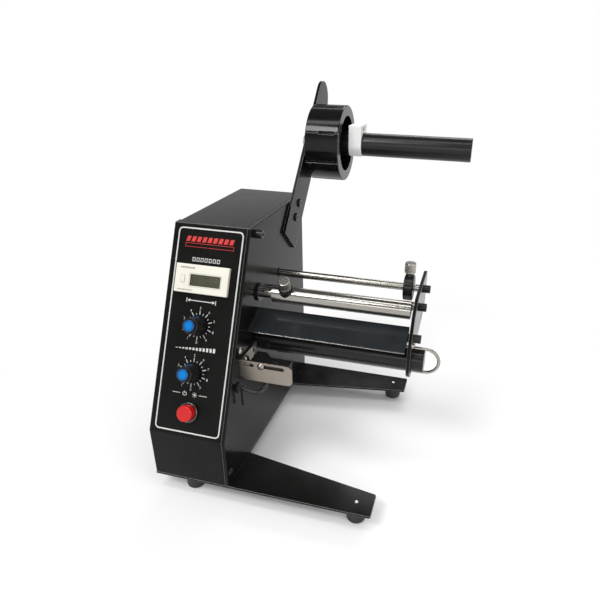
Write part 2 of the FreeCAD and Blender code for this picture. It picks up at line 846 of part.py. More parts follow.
def hex_nuts():
    # The nuts of both dials on the panel, and of the axle and the rods inside the wall.
    nuts = []
    for drop in (length_drop, speed_drop):
        nut = hexagon_prism(pot_nut_flats, pot_nut_height)
        nut = nut.cut(Part.makeCylinder(pot_bush_radius + fit_clearance, pot_nut_height + overrun))
        nuts.append(on_panel(nut, control_x, drop))
    for y, z in ((guide_rod_y, guide_rod_z), (tie_rod_y, tie_rod_z), (guide_bar_y, guide_bar_z)):
        nut = hexagon_prism(rod_nut_flats, rod_nut_height)
        nut = nut.cut(Part.makeCylinder(rod_stud_radius + fit_clearance, rod_nut_height + overrun))
        nuts.append(along(nut, Vector(wall_inner_x - rod_nut_height, y, z), Vector(1, 0, 0)))
    nut = hexagon_prism(axle_nut_flats, axle_nut_height)
    nut = nut.cut(Part.makeCylinder(axle_radius + fit_clearance, axle_nut_height + overrun))
    nuts.append(along(nut, Vector(wall_face_x - axle_nut_height, axle_y, axle_z), Vector(1, 0, 0)))
    return Part.makeCompound(nuts)


def power_button():
    cap = Part.makeCylinder(button_radius, button_height + button_sink, Vector(0, 0, -button_sink))
    top = rim_edges(cap, lambda edge: edge.Curve.Center.z > button_height / 2)
    cap = cap.makeFillet(button_edge_radius, top)
    stem = Part.makeCylinder(button_stem_radius, button_stem_length,
                             Vector(0, 0, -button_sink - button_stem_length))
    return on_panel(cap.fuse(stem).removeSplitter(), button_x, button_drop)


def button_bezel():
    ring = Part.makeCylinder(bezel_radius, bezel_height)
    top = rim_edges(ring, lambda edge: edge.Curve.Center.z > bezel_height / 2)
    ring = ring.makeFillet(bezel_height / 3, top)
    ring = ring.cut(Part.makeCylinder(bezel_bore_radius, bezel_height + overrun))
    return on_panel(ring, button_x, button_drop)


def switch_body():
    body = Part.makeCylinder(switch_radius, switch_depth, Vector(0, 0, -switch_depth))
    nut = Part.makeCylinder(switch_nut_radius, switch_nut_height,
                            Vector(0, 0, -panel_sheet - switch_nut_height))
    body = body.fuse(nut)
    cap_room = button_sink + button_travel + 2 * fit_clearance
    body = body.cut(Part.makeCylinder(bezel_bore_radius, cap_room + overrun, Vector(0, 0, -cap_room)))
    body = body.cut(Part.makeCylinder(button_stem_radius + fit_clearance, switch_bore_depth + overrun,
                                      Vector(0, 0, -switch_bore_depth - button_travel)))
    for side in (-1, 1):
        x = side * pot_lug_pitch / 2
        lug = box(x - pot_lug_sheet, -pot_lug_width, -switch_depth - pot_lug_length, x + pot_lug_sheet,
                  pot_lug_width, -switch_depth)
        body = body.fuse(lug)
    return on_panel(body.removeSplitter(), button_x, button_drop)


# Roll holder

def arm_screw_points():
    side = arm_across * (arm_width * arm_screw_side_share)
    return [arm_foot + arm_along * distance + side for distance in arm_screw_distances]


def roll_arm():
    low_front = arm_foot
    low_back = arm_foot + arm_across * arm_width
    high_front = low_front + arm_along * arm_straight_length
    high_back = low_back + arm_along * arm_straight_length
    tip = arm_round_centre + arm_along * (arm_width / 2)
    wire = Part.Wire([
        Part.LineSegment(low_back, low_front).toShape(), Part.LineSegment(low_front, high_front).toShape(),
        Part.Arc(high_front, tip, high_back).toShape(), Part.LineSegment(high_back, low_back).toShape(),
    ])
    arm = Part.Face(wire).extrude(Vector(arm_sheet, 0, 0))
    feet = edges_along(arm, Vector(1, 0, 0), lambda c: (c - arm_foot).dot(arm_along) < overrun)
    arm = arm.makeFillet(arm_corner_radius, feet)
    arm = arm.cut(rod_x(wall_face_x - overrun, arm_face_x + overrun, axle_y, axle_z,
                        axle_radius + fit_clearance))
    for point in arm_screw_points():
        arm = arm.cut(rod_x(wall_face_x - overrun, arm_face_x + overrun, point.y, point.z, arm_screw_radius))
    return arm


def core_wheel():
    ring_bore = wheel_radius - wheel_ring_width
    drum = rod_x(wheel_left_x, wheel_right_x, axle_y, axle_z, wheel_radius)
    drum = drum.makeFillet(wheel_edge_radius, rim_edges(drum, lambda edge: True))
    drum = drum.cut(rod_x(wheel_left_x + wheel_web_sheet, wheel_right_x + overrun, axle_y, axle_z,
                          ring_bore))
    hub = rod_x(wheel_left_x, wheel_left_x + wheel_hub_length, axle_y, axle_z, wheel_hub_radius)
    drum = drum.fuse(hub)
    rib_left_x = wheel_left_x + wheel_web_sheet
    ribs = []
    for i in range(wheel_rib_count):
        rib = box(rib_left_x, -wheel_rib_sheet / 2, roller_radius, rib_left_x + wheel_rib_height,
                  wheel_rib_sheet / 2, ring_bore + wheel_ring_width / 2)
        turned = place(rib, Vector(0, 0, 0), Vector(1, 0, 0), 360 * i / wheel_rib_count)
        turned.translate(Vector(0, axle_y, axle_z))
        ribs.append(turned)
    drum = drum.fuse(ribs)
    cuts = []
    for i in range(wheel_groove_count):
        groove = rod_x(wheel_left_x - overrun, wheel_right_x + overrun, 0,
                       wheel_radius + wheel_groove_radius / 2, wheel_groove_radius)
        turn_degrees = 180 * (2 * i + 1) / wheel_groove_count
        cuts.append(place(groove, Vector(0, axle_y, axle_z), Vector(1, 0, 0), turn_degrees))
    middle = (wheel_left_x + wheel_web_sheet + wheel_rib_height + wheel_right_x) / 2
    for i in range(wheel_window_count):
        window = box(middle - wheel_window_length / 2, -wheel_window_width / 2,
                     wheel_radius - wheel_ring_width * wheel_window_depth_share,
                     middle + wheel_window_length / 2, wheel_window_width / 2, wheel_radius + overrun)
        window = window.makeFillet(wheel_window_width * wheel_window_corner_share,
                                   edges_along(window, Vector(0, 0, 1)))
        turn_degrees = 360 * i / wheel_window_count + wheel_window_start_degrees
        cuts.append(place(window, Vector(0, axle_y, axle_z), Vector(1, 0, 0), turn_degrees))
    cuts.append(rod_x(wheel_left_x - overrun, wheel_right_x, axle_y, axle_z, roller_radius + fit_clearance))
    return drum.cut(Part.makeCompound(cuts)).removeSplitter()


def roller_tube():
    tube = rod_x(wheel_left_x, roller_right_x, axle_y, axle_z, roller_radius)
    right = rim_edges(tube, lambda edge: edge.Curve.Center.x > wheel_right_x)
    tube = tube.makeFillet(wheel_edge_radius / 2, right)
    bore = rod_x(wheel_left_x - overrun, roller_right_x + overrun, axle_y, axle_z, roller_bore_radius)
    return tube.cut(bore)


def roller_bushings():
    bushes = []
    left_x = wheel_left_x
    right_x = roller_right_x - bush_length
    for x in (left_x, right_x):
        bushes.append(tube_x(x, x + bush_length, axle_y, axle_z, roller_bore_radius - fit_clearance,
                             axle_radius + fit_clearance))
    disc_x = roller_right_x - bush_flange_length
    lid = rod_x(disc_x, roller_right_x, axle_y, axle_z, axle_radius + 2 * fit_clearance)
    bushes[1] = bushes[1].fuse(lid).removeSplitter()
    return Part.makeCompound(bushes)


def roller_axle():
    nut_end_x = wall_face_x - axle_nut_height - panel_sheet
    axle = rod_x(nut_end_x, roller_right_x - axle_tip_gap, axle_y, axle_z, axle_radius)
    collar = rod_x(arm_face_x, arm_face_x + axle_collar_length, axle_y, axle_z, axle_collar_radius)
    return axle.fuse(collar).removeSplitter()


def roll_fixator():
    # A snap clip: round below, with a square head above, and a mouth below to push it on.
    right_x = fixator_x + fixator_width
    half = roller_radius + fixator_wall
    clip = rod_x(fixator_x, right_x, axle_y, axle_z, half)
    clip = clip.fuse(box(fixator_x, axle_y - half, axle_z, right_x, axle_y + half,
                         axle_z + fixator_head_height))
    clip = clip.removeSplitter()
    top = [edge for edge in clip.Edges if edge.CenterOfMass.z > axle_z + fixator_head_height - fit_clearance]
    clip = clip.makeFillet(fixator_edge_radius, top)
    clip = clip.cut(rod_x(fixator_x - overrun, right_x + overrun, axle_y, axle_z,
                          roller_radius + fit_clearance))
    mouth = fixator_mouth_width / 2
    clip = clip.cut(box(fixator_x - overrun, axle_y - mouth, axle_z - half - overrun, right_x + overrun,
                        axle_y + mouth, axle_z - roller_radius / 2))
    lips = edges_along(clip, Vector(1, 0, 0), lambda c: abs(abs(c.y - axle_y) - mouth) < fit_clearance)
    clip = clip.makeFillet(fixator_lip_radius, lips)
    low_z = axle_z + roller_radius + fixator_wall + fixator_edge_radius
    hollow_y = fixator_hollow_width / 2
    hollow = box(right_x - fixator_hollow_depth, axle_y - hollow_y, low_z, right_x + overrun,
                 axle_y + hollow_y, low_z + fixator_hollow_height)
    return clip.cut(hollow).removeSplitter()


# Rods and guides

def stud_rod(y, z, radius, right_x, screw_end):
    rod = rod_x(wall_face_x, right_x, y, z, radius)
    rod = rod.fuse(rod_x(wall_inner_x - rod_stud_length, wall_face_x, y, z, rod_stud_radius))
    if screw_end:
        rod = rod.cut(rod_x(right_x - cap_screw_length, right_x + overrun, y, z, cap_screw_radius))
    return rod.removeSplitter()


def guide_rod():
    return stud_rod(guide_rod_y, guide_rod_z, guide_rod_radius, outer_plate_x, True)


def tie_rod():
    return stud_rod(tie_rod_y, tie_rod_z, tie_rod_radius, outer_plate_x, True)


def guide_bar():
    return stud_rod(guide_bar_y, guide_bar_z, guide_bar_radius, guide_tube_right_x - overrun, False)


def rod_collars():
    small = tube_x(wall_face_x, wall_face_x + rod_collar_height, guide_rod_y, guide_rod_z,
                   guide_rod_radius + rod_collar_lip, guide_rod_radius + fit_clearance)
    large = tube_x(wall_face_x, wall_face_x + bar_collar_height, guide_bar_y, guide_bar_z,
                   bar_collar_radius, guide_bar_radius + fit_clearance)
    spacer = tube_x(bed_right_x, outer_plate_x, bed_screw_y, bed_screw_z, cap_screw_head_radius,
                    cap_screw_radius)
    return Part.makeCompound([small, large, spacer])


def ring_guide():
    right_x = ring_guide_x + ring_guide_width
    ring = rod_x(ring_guide_x, right_x, guide_rod_y, guide_rod_z, ring_guide_radius)
    ring = ring.makeFillet(ring_guide_edge_radius, rim_edges(ring, lambda edge: True))
    ring = ring.cut(rod_x(ring_guide_x - overrun, right_x + overrun, guide_rod_y, guide_rod_z,
                          guide_rod_radius + fit_clearance))
    middle_x = ring_guide_x + ring_guide_width / 2
    boss = Part.makeCone(ring_boss_radius, ring_boss_top_radius, ring_boss_height + ring_guide_edge_radius,
                         Vector(middle_x, guide_rod_y,
                                guide_rod_z + ring_guide_radius - ring_guide_edge_radius))
    ring = ring.fuse(boss)
    hole = rod_z(guide_rod_z, guide_rod_z + ring_guide_radius + ring_boss_height + overrun, middle_x,
                 guide_rod_y, thumb_shank_radius + fit_clearance)
    return ring.cut(hole).removeSplitter()


def thumb_screw(rod_radius, seat_radius):
    # Stands along +Z over a rod whose axis passes through the origin.
    head_z = seat_radius + thumb_neck_height
    head = knurled_head(thumb_head_radius, thumb_head_height, thumb_flute_count, thumb_flute_radius,
                        thumb_head_edge_radius)
    head.translate(Vector(0, 0, head_z))
    neck = Part.makeCylinder(thumb_neck_radius, thumb_neck_height, Vector(0, 0, seat_radius))
    tip_z = rod_radius + thumb_tip_gap
    shank = Part.makeCylinder(thumb_shank_radius, seat_radius - tip_z, Vector(0, 0, tip_z))
    return head.fuse([neck, shank]).removeSplitter()


def ring_thumb_screw():
    screw = thumb_screw(guide_rod_radius, ring_guide_radius + ring_boss_height)
    screw.translate(Vector(ring_guide_x + ring_guide_width / 2, guide_rod_y, guide_rod_z))
    return screw


def guide_tube():
    tube = tube_x(guide_tube_left_x, guide_tube_right_x, guide_bar_y, guide_bar_z, guide_tube_radius,
                  guide_bar_radius + fit_clearance)
    hole = Part.makeCylinder(thumb_shank_radius + fit_clearance, guide_tube_radius + overrun)
    return tube.cut(place(hole, tube_thumb_seat(), Vector(1, 0, 0), tube_thumb_lean_degrees))


def tube_thumb_seat():
    return Vector(tube_thumb_x, guide_bar_y, guide_bar_z)


def saddle_washer():
    top = guide_tube_radius + saddle_height
    washer = Part.makeCylinder(saddle_radius, top)
    washer = washer.cut(Part.makeCylinder(guide_tube_radius + fit_clearance, 4 * saddle_radius,
                                          Vector(-2 * saddle_radius, 0, 0), Vector(1, 0, 0)))
    washer = washer.cut(Part.makeCylinder(thumb_shank_radius + fit_clearance, top + overrun))
    low = max(washer.Solids, key=lambda solid: solid.CenterOfMass.z)
    return place(low, tube_thumb_seat(), Vector(1, 0, 0), tube_thumb_lean_degrees)


def tube_thumb_screw():
    screw = thumb_screw(guide_bar_radius, guide_tube_radius + saddle_height)
    return place(screw, tube_thumb_seat(), Vector(1, 0, 0), tube_thumb_lean_degrees)


# Peel plate

def peel_plate():
    left_x = wall_face_x
    slope = math.tan(math.radians(bed_degrees))
    drop = bed_flange_height
    under = bed_sheet / math.cos(math.radians(bed_degrees))
    surface = [
        (bed_front_y, bed_front_z),
        (bed_rear_y, bed_rear_z),
        (bed_rear_y, bed_rear_z - bed_rear_flange_height),
        (bed_rear_y - bed_sheet, bed_rear_z - bed_rear_flange_height),
        (bed_rear_y - bed_sheet, bed_rear_z - bed_sheet * slope - under),
        (bed_front_y + bed_bevel_length, bed_front_z + bed_bevel_length * slope - under),
        (bed_front_y, bed_front_z - bed_edge_sheet),
    ]
    plate = prism_x(left_x, bed_right_x, surface)
    start_y = bed_front_y + drop / 2
    flange = [
        (start_y, bed_front_z + (start_y - bed_front_y) * slope - bed_sheet),
        (bed_rear_y, bed_rear_z - bed_sheet),
        (bed_rear_y, bed_rear_z - drop),
        (start_y + drop, bed_rear_z - drop),
    ]
    plate = plate.fuse(prism_x(left_x, left_x + bed_sheet, flange))
    plate = plate.fuse(prism_x(bed_right_x - bed_sheet, bed_right_x, flange)).removeSplitter()
    left_hole = rod_x(left_x - overrun, left_x + 2 * overrun, bed_wall_screw_y, bed_wall_screw_z,
                      small_screw_radius)
    right_hole = rod_x(bed_right_x - 2 * overrun, bed_right_x + overrun, bed_screw_y, bed_screw_z,
                       cap_screw_radius)
    return plate.cut([left_hole, right_hole])


# Outer plate

def outer_plate():
    outline = [
        (rewind_y - lobe_radius, rewind_z), (plate_front_y, plate_slant_low_z),
        (plate_slant_y, plate_slant_z), (plate_top_y, plate_top_z), (plate_back_y, plate_top_z),
        (plate_back_y, plate_back_low_z), (plate_heel_y, plate_heel_z),
        (rewind_y + lobe_radius, rewind_z),
    ]
    plate = prism_x(outer_plate_x, outer_face_x, outline)
    corners = edges_along(plate, Vector(1, 0, 0), lambda c: c.z > plate_heel_z - overrun)
    plate = plate.makeFillet(plate_corner_radius, corners)
    plate = plate.fuse(rod_x(outer_plate_x, outer_face_x, rewind_y, rewind_z, lobe_radius))
    low_x = outer_plate_x - overrun
    high_x = outer_face_x + overrun
    plate = plate.cut(rod_x(low_x, high_x, rewind_y, rewind_z, plate_hole_radius))
    for y, z in ((guide_rod_y, guide_rod_z), (tie_rod_y, tie_rod_z), (bed_screw_y, bed_screw_z)):
        plate = plate.cut(rod_x(low_x, high_x, y, z, cap_screw_radius))
    plate = plate.cut(rod_x(low_x, high_x, plate_screw_y, plate_screw_z, small_screw_radius))
    return plate.removeSplitter()


def arm_screw():
    head = Part.makeCylinder(arm_screw_head_radius, arm_screw_head_height)
    top = rim_edges(head, lambda edge: edge.Curve.Center.z > arm_screw_head_height / 2)
    head = head.makeFillet(arm_screw_head_height * arm_screw_dome_share, top)
    socket = hexagon_prism(arm_screw_socket_flats, arm_screw_socket_depth + overrun)
    socket.translate(Vector(0, 0, arm_screw_head_height - arm_screw_socket_depth))
    length = arm_sheet + wall_sheet
    shank = Part.makeCylinder(arm_screw_radius - fit_clearance, length, Vector(0, 0, -length))
    return head.cut(socket).fuse(shank).removeSplitter()


def black_screws():
    # Cap screws of the outer plate and the cover, button screws of the arm, and the panel's screw.
    screws = []
    for y, z in ((guide_rod_y, guide_rod_z), (tie_rod_y, tie_rod_z), (bed_screw_y, bed_screw_z)):
        length = outer_plate_sheet + cap_screw_length - overrun
        screws.append(along(cap_screw(length), Vector(outer_face_x, y, z), Vector(1, 0, 0)))
    wall_point = Vector(wall_face_x, wall_cap_screw_y, wall_cap_screw_z)
    screws.append(along(cap_screw(wall_sheet + cover_sheet), wall_point, Vector(1, 0, 0)))
    for point in arm_screw_points():
        screws.append(along(arm_screw(), Vector(arm_face_x, point.y, point.z), Vector(1, 0, 0)))
    small = pan_screw(small_screw_radius, wall_sheet + panel_sheet, small_screw_head_radius,
                      small_screw_head_height)
    screws.append(along(small, Vector(wall_face_x, panel_screw_y, panel_screw_z), Vector(1, 0, 0)))
    return Part.makeCompound(screws)


# Rewind shaft and drive

def clip_path(wire_radius):
    # The legs lie above and below the shaft and the loop joins them past its right end.
    top_left = Vector(clip_leg_left_x, rewind_y, rewind_z + clip_leg_offset)
    top_right = Vector(clip_loop_x, rewind_y, rewind_z + clip_leg_offset)
    bottom_right = Vector(clip_loop_x, rewind_y, rewind_z - clip_leg_offset)
    bottom_left = Vector(clip_leg_left_x, rewind_y, rewind_z - clip_leg_offset)
    tip = Vector(clip_loop_x + clip_leg_offset, rewind_y, rewind_z)
    path = Part.Wire([
        Part.LineSegment(top_left, top_right).toShape(), Part.Arc(top_right, tip, bottom_right).toShape(),
        Part.LineSegment(bottom_right, bottom_left).toShape(),
    ])
    section = Part.Wire(Part.makeCircle(wire_radius, top_left, Vector(1, 0, 0)))
    return path.makePipeShell([section], True, False)


def rewind_clip():
    return clip_path(clip_wire_radius)


def rewind_shaft():
    journal = rod_x(motor_bracket_x, rewind_left_x, rewind_y, rewind_z, rewind_journal_radius)
    barrel = rod_x(rewind_left_x, rewind_right_x, rewind_y, rewind_z, rewind_radius)
    barrel = barrel.makeFillet(rewind_edge_radius, rim_edges(barrel, lambda edge: True))
    shaft = journal.fuse(barrel)
    screw_start = Vector(grub_x, rewind_y - rewind_radius, rewind_z)
    shaft = shaft.cut(Part.makeCylinder(grub_radius, rewind_radius, screw_start, Vector(0, 1, 0)))
    groove_radius = clip_wire_radius + clip_groove_clearance
    for side in (-1, 1):
        z = rewind_z + side * clip_leg_offset
        shaft = shaft.cut(rod_x(clip_leg_left_x - fit_clearance, rewind_right_x + overrun, rewind_y, z,
                                groove_radius))
    return shaft.removeSplitter()


def shaft_screw():
    # The head's underside follows the round of the shaft.
    head = Part.makeCylinder(grub_head_radius, grub_head_height)
    top = rim_edges(head, lambda edge: edge.Curve.Center.z > grub_head_height / 2)
    head = head.makeFillet(grub_head_height * grub_edge_share, top)
    socket = hexagon_prism(grub_radius, grub_head_height)
    socket.translate(Vector(0, 0, grub_head_height / 2))
    seat = Vector(grub_x, rewind_y - math.sqrt(rewind_radius ** 2 - grub_head_radius ** 2), rewind_z)
    head = along(head.cut(socket), seat, Vector(0, -1, 0))
    head = head.cut(rod_x(rewind_left_x, rewind_right_x, rewind_y, rewind_z, rewind_radius))
    shank = Part.makeCylinder(grub_radius - fit_clearance, rewind_radius / 2 + grub_head_height / 2,
                              Vector(0, 0, -rewind_radius / 2))
    shank = along(shank, seat, Vector(0, -1, 0))
    return head.fuse(shank).removeSplitter()


def rewind_bearing():
    inner = tube_x(wall_inner_x - bearing_inner_length, wall_face_x, rewind_y, rewind_z,
                   bearing_radius - fit_clearance, rewind_journal_radius + fit_clearance)
    flange = tube_x(wall_face_x, wall_face_x + bearing_flange_height, rewind_y, rewind_z,
                    bearing_flange_radius, rewind_journal_radius + fit_clearance)
    return inner.fuse(flange).removeSplitter()


def involute_gear(tooth_count, width, bore_radius):
    # A spur gear about +Z with a tooth centred on +X.
    pitch_radius = gear_module * tooth_count / 2
    base_radius = pitch_radius * math.cos(math.radians(pressure_degrees))
    tip_radius = pitch_radius + gear_module * gear_addendum_share
    root_radius = pitch_radius - gear_module * gear_dedendum_share

    def involute_angle(radius):
        roll = math.sqrt(max((radius / base_radius) ** 2 - 1, 0))
        return roll - math.atan(roll)

    half_tooth = math.pi / (2 * tooth_count) - gear_backlash / (2 * pitch_radius)
    half_at_base = half_tooth + involute_angle(pitch_radius)
    start_radius = max(base_radius, root_radius)
    steps = 4
    flank = []
    for i in range(steps + 1):
        radius = start_radius + (tip_radius - start_radius) * i / steps
        flank.append((radius, half_at_base - involute_angle(radius)))
    points = []
    for tooth in range(tooth_count):
        centre = 2 * math.pi * tooth / tooth_count
        root_angle = centre - half_at_base
        if root_radius < start_radius:
            points.append((root_radius, root_angle))
        points += [(radius, centre - angle) for radius, angle in flank]
        points += [(radius, centre + angle) for radius, angle in reversed(flank)]
        if root_radius < start_radius:
            points.append((root_radius, centre + half_at_base))
    outline = [(radius * math.cos(angle), radius * math.sin(angle)) for radius, angle in points]
    gear = prism_z(0, width, outline)
    return gear.cut(Part.makeCylinder(bore_radius, width + overrun, Vector(0, 0, -overrun / 2)))


def rewind_gear():
    gear = involute_gear(gear_tooth_count, gear_width, rewind_journal_radius + fit_clearance)
    ring = gear_module * gear_tooth_count / 2 * gear_hole_ring_share
    for i in range(gear_hole_count):
        angle = 2 * math.pi * i / gear_hole_count
        hole = Part.makeCylinder(gear_hole_radius, gear_width + overrun,
                                 Vector(ring * math.cos(angle), ring * math.sin(angle), -overrun / 2))
        gear = gear.cut(hole)
    hub = Part.makeCylinder(gear_hub_radius, gear_hub_length, Vector(0, 0, -gear_hub_length))
    hub = hub.cut(Part.makeCylinder(rewind_journal_radius + fit_clearance, gear_hub_length + overrun,
                                    Vector(0, 0, -gear_hub_length - overrun / 2)))
    gear = gear.fuse(hub).removeSplitter()
    gear = place(gear, Vector(0, 0, 0), Vector(0, 0, 1), 90)
    return place(gear, Vector(gear_x, rewind_y, rewind_z), Vector(0, 1, 0), 90)


def motor_pinion():
    gear = involute_gear(pinion_tooth_count, gear_width, motor_shaft_radius + fit_clearance)
    half_tooth_degrees = 180 / pinion_tooth_count
    gear = place(gear, Vector(0, 0, 0), Vector(0, 0, 1), 90 + half_tooth_degrees)
    return place(gear, Vector(gear_x, pinion_y, pinion_z), Vector(0, 1, 0), 90)


def motor_shaft():
    low_x = gearbox_face_x - gearbox_length / 2
    return rod_x(low_x, gear_x + gear_width, pinion_y, pinion_z, motor_shaft_radius)


def gearbox():
    low_x = gearbox_face_x - gearbox_length
    body = rod_x(low_x, gearbox_face_x, pinion_y, pinion_z, gearbox_radius)
    boss = rod_x(gearbox_face_x, gearbox_face_x + motor_bracket_sheet, pinion_y, pinion_z, motor_boss_radius)
    body = body.fuse(boss)
    bore = rod_x(gearbox_face_x - gearbox_length / 2 - fit_clearance, gear_x, pinion_y, pinion_z,
                 motor_shaft_radius + fit_clearance)
    return body.cut(bore).removeSplitter()


def rewind_motor():
    right_x = gearbox_face_x - gearbox_length
    can = rod_x(right_x - motor_length + motor_boss_length, right_x, pinion_y, pinion_z, motor_radius)
    back = rim_edges(can, lambda edge: edge.Curve.Center.x < right_x - motor_length / 2)
    can = can.makeFillet(motor_can_edge_radius, back)
    boss = rod_x(right_x - motor_length, right_x - motor_length + motor_boss_length, pinion_y, pinion_z,
                 motor_boss_radius)
    return can.fuse(boss).removeSplitter()


def motor_bracket():
    left_x = motor_bracket_x
    right_x = left_x + motor_bracket_sheet
    low_y = rewind_y - bearing_flange_radius - motor_bracket_margin
    high_y = pinion_y + gearbox_radius + motor_bracket_margin
    high_z = pinion_z + gearbox_radius + motor_bracket_margin
    plate = box(left_x, low_y, base_top_z, right_x, high_y, high_z)
    corners = edges_along(plate, Vector(1, 0, 0), lambda c: c.z > high_z - overrun)
    plate = plate.makeFillet(plate_corner_radius, corners)
    foot = box(left_x - motor_bracket_foot, low_y, base_top_z, left_x, high_y,
               base_top_z + motor_bracket_sheet)
    bracket = plate.fuse(foot).removeSplitter()
    bracket = bracket.cut(rod_x(left_x - overrun, right_x + overrun, pinion_y, pinion_z,
                                motor_boss_radius + fit_clearance))
    return bracket.cut(rod_x(left_x - overrun, right_x + overrun, rewind_y, rewind_z,
                             rewind_journal_radius + fit_clearance))


# Electrics

def board_corner(i, j):
    y = board_y + board_hole_inset + i * (board_length - 2 * board_hole_inset)
    z = board_z + board_hole_inset + j * (board_height - 2 * board_hole_inset)
    return y, z


def control_board():
    board = box(board_x, board_y, board_z, board_x + board_sheet, board_y + board_length,
                board_z + board_height)
    for i in (0, 1):
        for j in (0, 1):
            y, z = board_corner(i, j)
            hole = rod_x(board_x - overrun, board_x + board_sheet + overrun, y, z, standoff_screw_radius)
            board = board.cut(hole)
    return board


def board_parts():
    face_x = board_x + board_sheet
    blocks = []
    rows = zip(chip_lifts, chip_length_shares, chip_height_shares, chip_back_shares, chip_rise_shares)
    for lift, length_share, height_share, back_share, rise_share in rows:
        y = board_y + board_length * back_share
        z = board_z + board_height * rise_share
        blocks.append(box(face_x, y, z, face_x + lift, y + board_length * length_share,
                          z + board_height * height_share))
    return Part.makeCompound(blocks)


def board_standoffs():
    left_x = panel_sheet + cover_sheet
    posts = []
    for i in (0, 1):
        for j in (0, 1):
            y, z = board_corner(i, j)
            posts.append(rod_x(left_x, board_x, y, z, standoff_radius))
    return Part.makeCompound(posts)


def power_gland():
    back = Vector(gland_x, body_depth, gland_z)
    flange = hexagon_prism(gland_flats, gland_flange_height)
    nose = Part.makeCone(gland_nose_radius, gland_bore_radius + panel_sheet, gland_nose_height,
                         Vector(0, 0, gland_flange_height))
    inside = Part.makeCylinder(gland_nose_radius - fit_clearance, gland_inside_length,
                               Vector(0, 0, -gland_inside_length))
    gland = flange.fuse([nose, inside])
    depth = gland_flange_height + gland_nose_height
    gland = gland.cut(Part.makeCylinder(gland_bore_radius, depth + overrun))
    return along(gland.removeSplitter(), back, Vector(0, 1, 0))


# Sensor

def sensor_bracket():
    left_x = wall_face_x
    front = box(left_x, bracket_front_y, bracket_low_z, bracket_right_x, bracket_front_y + bracket_sheet,
                bracket_high_z)
    right = edges_along(front, Vector(0, 1, 0), lambda c: c.x > bracket_right_x - overrun)
    front = front.makeFillet(bracket_corner_radius, right)
    side = [
        (bracket_front_y, bracket_low_z), (bracket_front_y, bracket_high_z),
        (bracket_flange_y, bracket_high_z), (bracket_flange_y, bracket_high_z - bracket_flange_step),
        (bracket_toe_y, bracket_toe_z),
    ]
    bracket = front.fuse(prism_x(left_x, left_x + bracket_sheet, side)).removeSplitter()
    for low_x, high_x in (bracket_slot_a, bracket_slot_b):
        bracket = bracket.cut(bracket_slot(low_x, high_x, bracket_slot_z, bracket_slot_width))
    for y, z, radius in ((bracket_screw_y, bracket_screw_z, big_screw_radius),
                         (bracket_hole_y, bracket_hole_z, bracket_hole_radius)):
        bracket = bracket.cut(rod_x(left_x - overrun, left_x + bracket_sheet + overrun, y, z, radius))
    return bracket


def bracket_slot(low_x, high_x, z, width):
    radius = width / 2
    y0 = bracket_front_y - overrun
    y1 = bracket_front_y + bracket_sheet + overrun
    middle = box(low_x + radius, y0, z - radius, high_x - radius, y1, z + radius)
    ends = []
    for x in (low_x + radius, high_x - radius):
        ends.append(Part.makeCylinder(radius, y1 - y0, Vector(x, y0, z), Vector(0, 1, 0)))
    return middle.fuse(ends)


def label_sensor():
    y0 = bracket_front_y + bracket_sheet + sensor_gap
    y1 = y0 + sensor_depth
    y2 = y0 + sensor_wide_depth
    step_x = sensor_wide_x + sensor_wide_depth - sensor_depth
    outline = [
        (sensor_left_x, y0), (sensor_right_x, y0), (sensor_right_x, y1), (step_x, y1),
        (sensor_wide_x, y2), (sensor_left_x, y2),
    ]
    body = prism_z(sensor_low_z, sensor_high_z, outline)
    body = body.makeFillet(sensor_edge_radius, body.Edges)
    eye_x = sensor_left_x + (sensor_right_x - sensor_left_x) * sensor_eye_share
    eye = rod_z(sensor_high_z - sensor_eye_height, sensor_high_z + sensor_eye_height / 2, eye_x,
                (y0 + y1) / 2, sensor_eye_radius)
    end_x, end_y, end_z = cable_points[-1]
    gland = rod_z(end_z, end_z + sensor_gland_height + overrun, end_x, end_y, sensor_gland_radius)
    body = body.fuse([eye, gland])
    hole = Part.makeCylinder(small_screw_radius, sensor_depth / 2,
                             Vector(sensor_screw_x, y0, bracket_slot_z), Vector(0, 1, 0))
    return body.cut(hole).removeSplitter()


def chrome_screws():
    screws = []
    small = pan_screw(small_screw_radius, wall_sheet, small_screw_head_radius, small_screw_head_height)
    screws.append(along(small, Vector(wall_face_x, wall_screw_y, wall_screw_z), Vector(1, 0, 0)))
    screws.append(along(small, Vector(outer_face_x, plate_screw_y, plate_screw_z), Vector(1, 0, 0)))
    big = pan_screw(big_screw_radius, bracket_sheet + wall_sheet, big_screw_head_radius,
                    big_screw_head_height)
    screws.append(along(big, Vector(wall_face_x + bracket_sheet, bracket_screw_y, bracket_screw_z),
                        Vector(1, 0, 0)))
    bed = pan_screw(small_screw_radius, bed_sheet + wall_sheet, small_screw_head_radius,
                    small_screw_head_height)
    screws.append(along(bed, Vector(wall_face_x + bed_sheet, bed_wall_screw_y, bed_wall_screw_z),
                        Vector(1, 0, 0)))
    clamp = pan_screw(small_screw_radius, bracket_sheet + sensor_depth / 3, small_screw_head_radius,
                      small_screw_head_height)
    screws.append(along(clamp, Vector(sensor_screw_x, bracket_front_y, bracket_slot_z), Vector(0, -1, 0)))
    return Part.makeCompound(screws)


# Sensor cable

